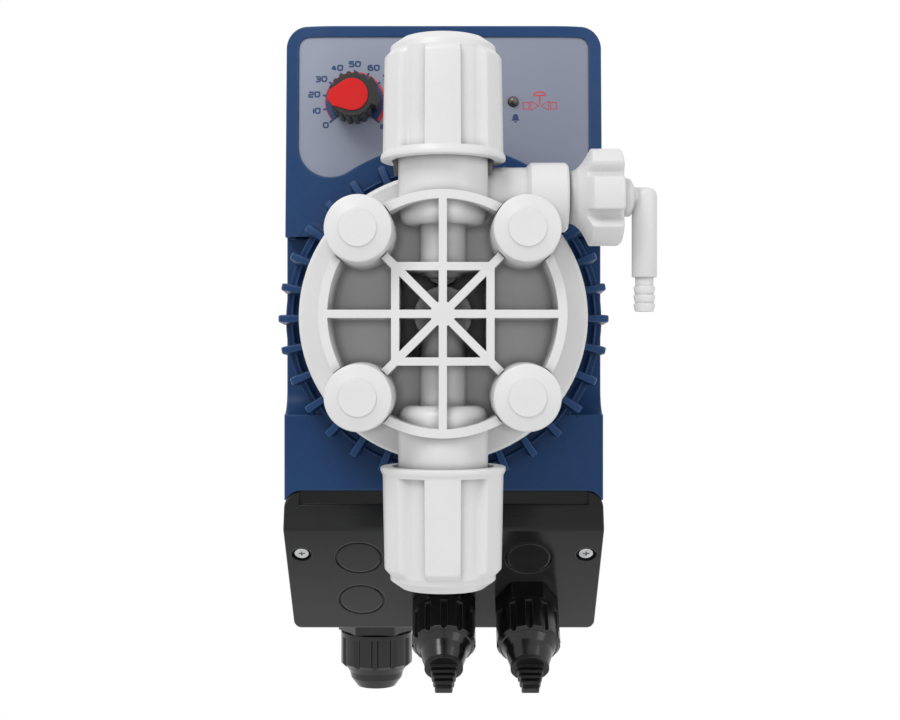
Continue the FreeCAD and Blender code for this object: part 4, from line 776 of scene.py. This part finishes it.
# Drum collars: the blue rims above and below the drum that close the round recess it stands in.
# They are part of the same moulding as the front housing, so they have its colour, follow its
# slopes and lie a hair proud of its face.
collar_inner_r = 47.5
collar_outer_r = 56.3
collar_proud = 0.07
collar_sink = 0.1
collar_back_y = drum_high.y - collar_sink * mm
collar_steps = 30
collar_end_gap = 0.4
seam_offset = 0.03
slope_near_r = 55.6
slope_far_r = 56.6
collar_blue = moulded("blue_collar_moulding", rgb(27, 60, 104), rgb(33, 68, 113), rgb(40, 74, 118),
                      roughness=0.40, grain_size=0.0006, grain_depth=0.000012, edge_r=0.00003,
                      Specular_IOR_Level=0.2)
housing_faces = faces_of("front_housing", epsilon=0.00001)
for name, channel_edge, way in (("upper", 0.033, 1), ("lower", -0.0269, -1)):
    channel_rise = (channel_edge - drum_middle.z) / mm * way
    end_of_collar = math.degrees(math.acos(channel_rise / collar_outer_r)) - collar_end_gap
    collar = bmesh.new()
    rows = []
    for k in range(-collar_steps, collar_steps + 1):
        lean = end_of_collar * k / collar_steps + seam_offset
        turn = lean if way > 0 else 180 - lean
        inner_r = max(collar_inner_r, channel_rise / math.cos(math.radians(lean)))
        middle_r = inner_r + (collar_outer_r - inner_r) * 0.5
        near_y, far_y = (
            housing_faces.ray_cast(about_y(drum_middle, r, turn, ray_start_y), backward)[0].y
            for r in (slope_near_r, slope_far_r))
        row = [(collar_outer_r, collar_back_y)]
        for r in (collar_outer_r, middle_r, inner_r):
            row.append((r, near_y + (far_y - near_y) * (r - slope_near_r) - collar_proud * mm))
        row.append((inner_r, collar_back_y))
        rows.append([collar.verts.new(about_y(drum_middle, r, turn, y)) for r, y in row])
    for near, far in zip(rows, rows[1:]):
        for j in range(len(near)):
            k = (j + 1) % len(near)
            collar.faces.new((near[j], near[k], far[k], far[j]))
    collar.faces.new(rows[0])
    collar.faces.new(list(reversed(rows[-1])))
    bmesh.ops.remove_doubles(collar, verts=collar.verts, dist=skin_gap)
    bmesh.ops.recalc_face_normals(collar, faces=collar.faces)
    riding("drum_collar_" + name, collar, collar_blue, "pump")


# Solenoid: a steel yoke round a black bobbin wound with lacquered copper wire, a fixed core and a
# bronze bush. The plunger and its push rod are turned steel and pull against a wire spring.
dress(steel, "solenoid_yoke", "fixed_core", "plunger", "push_rod", "diaphragm_insert",
      *["head_screw_%d" % i for i in (1, 2, 3, 4)])
spring_steel = plated("spring_wire", rgb(132, 134, 138), rgb(176, 178, 182), 0.26,
                      turning=(0.2, 1, 0.2))
spring = made("return_spring_coil", welded("return_spring"), spring_steel)
spring.data.shade_smooth()
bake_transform(spring)
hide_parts("return_spring")
bronze = plated("bush_bronze", rgb(160, 118, 66), rgb(190, 146, 90), 0.36, turning=(1, 0.08, 1))
dress(bronze, "guide_bush")
dress(dull_black, "coil_bobbin", "backing_flange")
wire_pitch = 0.0006
wire_depth = 0.0002
lacquer_cloud_size = 0.002
copper = Finish("lacquered_copper", Metallic=1.0, Coat_Weight=0.5)
# The wire's colour swings along the coil: a painted shade between the turns and a painted highlight on
# them; the same wave gives the bump.
wire_relief_and_shade = copper.maths("SINE", copper.axis(1) * (2 * math.pi / wire_pitch)).share(-1, 1)
copper.set(Base_Color=copper.mix(wire_relief_and_shade, rgb(104, 50, 28), rgb(206, 122, 78)))
copper.set(Roughness=0.28 + copper.noise(lacquer_cloud_size) * 0.1)
copper.bump(wire_relief_and_shade, depth=wire_depth, normal=copper.facing())
dress(copper.material, "coil_winding")


# Diaphragm: a rubber disc with a moulded-in steel insert, clamped at its bead between the backing
# flange and the head, with a smooth wetted face. It is made in sectors, each from the insert, which
# moves with the rod, out to the bead, which stays.
web_low, web_high = (Vector(corner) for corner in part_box("diaphragm"))
web_middle = (web_low + web_high) / 2
sectors = 8
for i in range(sectors):
    web = welded("diaphragm")
    for k, way in ((i, 1), (i + 1, -1)):
        angle = 2 * math.pi * k / sectors
        bmesh.ops.bisect_plane(web, geom=web.verts[:] + web.edges[:] + web.faces[:],
                               plane_co=web_middle, clear_outer=True,
                               plane_no=(-way * math.cos(angle), 0, way * math.sin(angle)))
    sector = made("diaphragm_sector_%d" % i, web, rubber)
    angle = 2 * math.pi * (i + 0.5) / sectors
    outward = Vector((math.sin(angle), 0, math.cos(angle)))
    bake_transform(sector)
    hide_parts("diaphragm")


# Liquid head: one thick white moulding, bolted on through four posts, with a lattice of ribs in a ring,
# an upright channel in its middle, and a neck above and below for the valves. Its grooves and corners
# have a grey painted shade, and its edges a white that is partly wear and partly a painted highlight.
white = moulded("white_head_moulding", rgb(227, 227, 227), rgb(232, 232, 232), rgb(255, 255, 255),
                roughness=0.36, grain_size=0.0009, grain_depth=0.000005, edge_r=0.00028,
                painted_groove_shade=rgb(172, 172, 172))
dress(white, "pump_head")


# Lock ribs: two short grey ribs on the sides of the upper neck, just under its nut, that stop
# the nut from shaking loose. They are moulded apart and pressed into the neck.
neck_low, neck_high = (Vector(corner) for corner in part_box("discharge_union_nut"))
neck_middle = (neck_low + neck_high) / 2
rib_middle_r = 13.9
rib_length = 1.9
rib_width = 2.2
rib_drop = 3.4
rib_taper = 0.8
rib_edge = 0.25
rib_grey = moulded("lock_rib_moulding", rgb(92, 92, 90), rgb(108, 108, 106), rgb(150, 150, 148),
                   roughness=0.4, grain_size=0.0004, grain_depth=0.00001, edge_r=0.0002)
for side, way in (("left", -1), ("right", 1)):
    rib = bmesh.new()
    bmesh.ops.create_cube(rib, size=1.0)
    for v in rib.verts:
        taper = rib_taper if v.co.z < 0 else 1
        v.co = Vector((neck_middle.x + way * (rib_middle_r + v.co.x * rib_length * taper) * mm,
                       neck_middle.y + v.co.y * rib_width * taper * mm,
                       neck_low.z + (v.co.z - 0.5) * rib_drop * mm))
    bmesh.ops.bevel(rib, geom=rib.edges, offset=rib_edge * mm, segments=2, affect="EDGES")
    riding("neck_lock_rib_" + side, rib, rib_grey, "pump")


# Screw caps: four round white plugs pushed over the head screws, each with a cone-shaped face
# round a flat disc, where the moulding gate was trimmed.
facets = 72
for i in (1, 2, 3, 4):
    cap_low, cap_high = (Vector(corner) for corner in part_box("screw_cap_%d" % i))
    cap_middle = (cap_low + cap_high) / 2
    cap_r = (cap_high.x - cap_low.x) / 2 / mm
    cap_length = (cap_high.y - cap_low.y) / mm
    cap_profile = [(0, cap_length), (cap_r, cap_length), (cap_r - 0.5, 2.2), (cap_r - 0.6, 1.7),
                   (cap_r - 0.85, 1.5), (cap_r - 1.1, 1.45), (5.45, 0.28), (5.4, 0), (5.3, 0), (0, 0)]
    cap_rings = [[about_y(cap_middle, r, 360 * k / facets, cap_low.y + depth * mm)
                  for k in range(facets)] for r, depth in cap_profile]
    cap = riding("cap_plug_%d" % i, skinned(cap_rings, False), white, "pump")
    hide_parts("screw_cap_%d" % i)


# Suction and discharge valves: a white seat, a glass ball and a white cage in each neck, held by
# a lobed union nut that also clamps a ribbed hose nipple.
dress(white, "discharge_valve_seat", "suction_valve_seat", "discharge_valve_cage",
      "suction_valve_cage", "discharge_hose_nipple", "suction_hose_nipple")
nut_facets = 300
nut_core_r = 16.05
# The turn of each lobe's middle, its half width and the ramp beside it, in degrees.
nut_lobes = [(0, 17.3, 1.8), (72, 24.5, 9.5), (144, 24.5, 9.5), (216, 24.5, 9.5), (288, 24.5, 9.5)]
# Radius, height above the nut's wide end, and how deep the flutes are, 0 to 1.
nut_profile = [
    (3.15, 36.9, 0), (3.15, 33.6, 0), (8.2, 29.6, 0), (8.2, 19.4, 0), (13.75, 19.4, 0),
    (13.75, 4.2, 0), (15.3, 3.9, 0), (15.3, 0.3, 0), (15.5, 0, 0), (18.5, 0, 0), (18.85, 0.15, 0),
    (18.95, 0.5, 0), (18.95, 0.95, 0), (18.9, 1.3, 0), (18.7, 1.8, 0), (18.45, 2.25, 0),
    (18.32, 2.55, 0), (18.28, 2.8, 0), (18.27, 2.9, 0.55), (18.26, 3.05, 0.93), (18.25, 3.3, 1),
    (18.1, 12.0, 1), (17.9, 22.0, 1), (17.72, 30.4, 1), (17.68, 30.8, 1), (17.5, 31.1, 1),
    (16.4, 32.3, 1), (16.1, 32.6, 0), (15.95, 32.85, 0), (15.95, 34.0, 0), (15.85, 34.25, 0),
    (15.6, 34.5, 0), (12.9, 36.4, 0), (12.4, 36.75, 0), (11.9, 36.9, 0), (3.6, 36.9, 0)]


def lobe_share(turn):
    """How far the nut's skin is out of its flutes at a turn from the front, 0 to 1."""
    share = 0
    for lobe_turn, half, ramp in nut_lobes:
        off = abs((turn - lobe_turn + 180) % 360 - 180)
        step = min(max((half + ramp - off) / ramp, 0), 1)
        share = max(share, step * step * (3 - 2 * step))
    return share


def about_z(middle, r, turn, z):
    """A point about an upright line through a middle: its radius in millimetres, its turn in
    degrees from the front, and its z in metres."""
    angle = math.radians(turn)
    return Vector((middle.x + r * mm * math.sin(angle), middle.y - r * mm * math.cos(angle), z))


for end, way, rise_off_neck in (("discharge", 1, 0.0004), ("suction", -1, -0.0006)):
    nut_low, nut_high = (Vector(corner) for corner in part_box(end + "_union_nut"))
    nut_middle = (nut_low + nut_high) / 2
    nut_start = (nut_low.z if way > 0 else nut_high.z) + way * rise_off_neck
    nut_rings = []
    for r, rise, flute in nut_profile:
        ring = []
        for k in range(nut_facets):
            turn = 360 * k / nut_facets
            skin_r = r - flute * (r - nut_core_r) * (1 - lobe_share(turn))
            ring.append(about_z(nut_middle, skin_r, turn, nut_start + way * rise * mm))
        nut_rings.append(ring)
    nut = riding(end + "_lobed_nut", skinned(nut_rings), white, "pump")
    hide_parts(end + "_union_nut")
glass_mark_size = 0.001
glass_cloud_size = 0.002
glass = Finish("ball_glass", Transmission_Weight=1.0, IOR=1.47)
glass.set(Roughness=0.03 + glass.noise(glass_mark_size) * 0.05)
glass_cloud = glass.noise(glass_cloud_size)
glass.set(Base_Color=glass.mix(glass_cloud, rgb(225, 238, 232), rgb(244, 250, 247)))
dress(glass.material, "discharge_ball", "suction_ball")


# Bleed valve: a hollow stem screwed into the head's side, a star knob with a flared skirt to
# turn it by hand, and a barbed elbow that swivels on its end, all in the head's white plastic.
dress(white, "bleed_stem")
star_low, star_high = (Vector(corner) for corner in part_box("bleed_knob"))
star_middle = (star_low + star_high) / 2
star_start = star_low.x / mm
star_length = (star_high.x - star_low.x) / mm
star_facets = 240
star_bore_r = 3.7
star_foot_r = 7.6
star_rim_r = 6.4
star_lobe_r = 15.0
star_valley_r = 11.7
star_lobes = 6
star_plateau = 18.2
star_ramp = 7.0
skirt_length = 7.0
skirt_start_r = 8.0
skirt_end_r = 16.2
skirt_curve = 2.1
# The place along the star's axis, and how far its outline is drawn in.
star_steps = [(0.4, 0), (1.2, 0), (2.2, 0), (3.2, 0), (4.2, 0), (5.0, 0), (5.7, 0), (6.3, 0),
              (6.8, 0), (7.2, 0), (9.0, 0), (12.0, 0), (star_length - 1.3, 0),
              (star_length - 0.75, 0.12), (star_length - 0.3, 0.45), (star_length, 1.1)]


def bleed_ring(radii, along):
    """A ring of points about the bleed valve's axis, with a radius at each step of its turn from
    the front, in millimetres like its place along the axis."""
    ring = []
    for k, r in enumerate(radii):
        angle = 2 * math.pi * k / len(radii)
        ring.append(Vector((along * mm, star_middle.y - r * mm * math.cos(angle),
                            star_middle.z + r * mm * math.sin(angle))))
    return ring


def star_reach(turn):
    """The star's outer radius at a turn from the front."""
    off = abs((turn + 180 / star_lobes) % (360 / star_lobes) - 180 / star_lobes)
    fall = min(max((off - star_plateau) / star_ramp, 0), 1)
    return star_lobe_r - (star_lobe_r - star_valley_r) * (1 - math.cos(math.pi * fall)) / 2


star_rings = [bleed_ring([r] * star_facets, star_start + along)
              for r, along in ((star_bore_r, star_length), (star_bore_r, 0), (star_foot_r, 0))]
for along, inset in star_steps:
    flare = min(along / skirt_length, 1) ** skirt_curve
    skirt_r = skirt_start_r + (skirt_end_r - skirt_start_r) * flare
    star_rings.append(bleed_ring([min(skirt_r, star_reach(360 * k / star_facets) - inset)
                                  for k in range(star_facets)], star_start + along))
star_rings.append(bleed_ring([star_rim_r] * star_facets, star_start + star_length))
star = riding("bleed_star_knob", skinned(star_rings), white, "bleed_knob")
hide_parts("bleed_knob")

elbow_low, elbow_high = (Vector(corner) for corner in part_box("bleed_elbow"))
elbow_r = 3.9
elbow_length = 38.3
elbow_bore_r = 1.4
elbow_bore_length = 24
barb_height = 2.6
barb_foot_r = 2.85
tube_middle = Vector((elbow_high.x - (elbow_r + 0.05) * mm, star_middle.y, 0))
hub_start = elbow_low.x / mm
hub_profile = [(0, 0), (5.6, 0), (5.9, 0.3), (5.9, 2.1), (5.6, 2.6), (3.3, 3.9), (3.2, 4.4),
               (3.2, 7.2), (0, 7.2)]
tube_profile = [(0, elbow_length), (1.2, elbow_length), (2.5, 38.0), (3.4, 37.2), (3.8, 36.2),
                (elbow_r, 35.1), (elbow_r, 10.9), (3.7, 10.6), (barb_foot_r, 10.5),
                (2.8, 3 * barb_height + 0.2)]
for barb in (2, 1, 0):
    foot = barb * barb_height
    tube_profile += [(3.3, foot + barb_height * 0.95), (3.35, foot + barb_height * 0.75),
                     (barb_foot_r, foot + 0.05)]
tube_profile += [(2.6, 0), (elbow_bore_r, 0), (elbow_bore_r, elbow_bore_length), (0, elbow_bore_length)]
hub_rings = [bleed_ring([r] * facets, hub_start + along) for r, along in hub_profile]
tube_rings = [[about_z(tube_middle, r, 360 * k / facets, elbow_low.z + rise * mm)
               for k in range(facets)] for r, rise in tube_profile]
elbow = riding("barbed_elbow", skinned(tube_rings, False), white, "bleed_elbow")
worked(elbow, "UNION", skinned(hub_rings, False))
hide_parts("bleed_elbow")


# Studio: a pale floor well below the pump, which hangs on its bracket, a wide soft lamp high on
# the left, a weaker one at the right, and a plain white surround.
floor_z = -0.30
floor_corners = ((-1.2, -1.3), (1.2, -1.3), (1.2, 0.5), (-1.2, 0.5))
paint_cloud_size = 0.08
floor_form = bmesh.new()
floor_form.faces.new([floor_form.verts.new((x, y, floor_z)) for x, y in floor_corners])
paint = Finish("floor_paint", Roughness=0.9)
paint_cloud = paint.noise(paint_cloud_size, 3.0)
paint.set(Base_Color=paint.mix(paint_cloud, rgb(238, 238, 238), rgb(243, 243, 243)))
mirrored = paint.node("ShaderNodeLightPath", output="Is Glossy Ray")
through = paint.node("ShaderNodeLightPath", output="Is Transmission Ray")
glow = paint.node("ShaderNodeEmission", {}, {"Color": (1, 1, 1, 1), "Strength": 1.0})
matt = Wire(paint, paint.shader.outputs[0])
floor_shader = paint.node("ShaderNodeMixShader", {}, {
    0: paint.maths("MAXIMUM", mirrored, through), 1: matt, 2: glow})
paint.feed(paint.tree.nodes["Material Output"].inputs["Surface"], floor_shader)
floor = made("floor", floor_form, paint.material)

sky_level = 0.56
world = bpy.data.worlds.new("studio")
bpy.context.scene.world = world
world.use_nodes = True
room = Wiring(world.node_tree)
rays = [room.node("ShaderNodeLightPath", output="Is %s Ray" % kind)
        for kind in ("Camera", "Glossy", "Transmission")]
seen_white = room.maths("MAXIMUM", rays[0], room.maths("MAXIMUM", rays[1], rays[2]))
background = world.node_tree.nodes["Background"]
background.inputs["Color"].default_value = (1, 1, 1, 1)
room.feed(background.inputs["Strength"], sky_level + seen_white * (1 - sky_level))

pump_middle = Vector((0, -0.1, 0))


def soft_lamp(name, place, size, power):
    """A square or oblong lamp that looks at the middle of the pump."""
    lamp = bpy.data.lights.new(name, "AREA")
    lamp.shape = "RECTANGLE"
    lamp.size, lamp.size_y = size
    lamp.energy = power
    stand = bpy.data.objects.new(name, lamp)
    stand.location = place
    stand.rotation_euler = (pump_middle - Vector(place)).to_track_quat("-Z", "Y").to_euler()
    bpy.context.scene.collection.objects.link(stand)


soft_lamp("key", place=(-0.5, -0.95, 0.95), size=(0.6, 0.6), power=7.4)
soft_lamp("fill", place=(0.85, -0.85, 0.25), size=(0.5, 0.9), power=2.0)

image_width_px = 900
focal_length_px = 1419
camera_data = bpy.data.cameras.new("camera")
camera_data.sensor_width = 36.0
camera_data.lens = camera_data.sensor_width * focal_length_px / image_width_px
camera = bpy.data.objects.new("camera", camera_data)
camera.location = (0.0021, -0.6, -0.0085)
camera.rotation_euler = (math.pi / 2, 0, 0)
bpy.context.scene.collection.objects.link(camera)
bpy.context.scene.camera = camera
bpy.context.scene.view_settings.view_transform = "Standard"
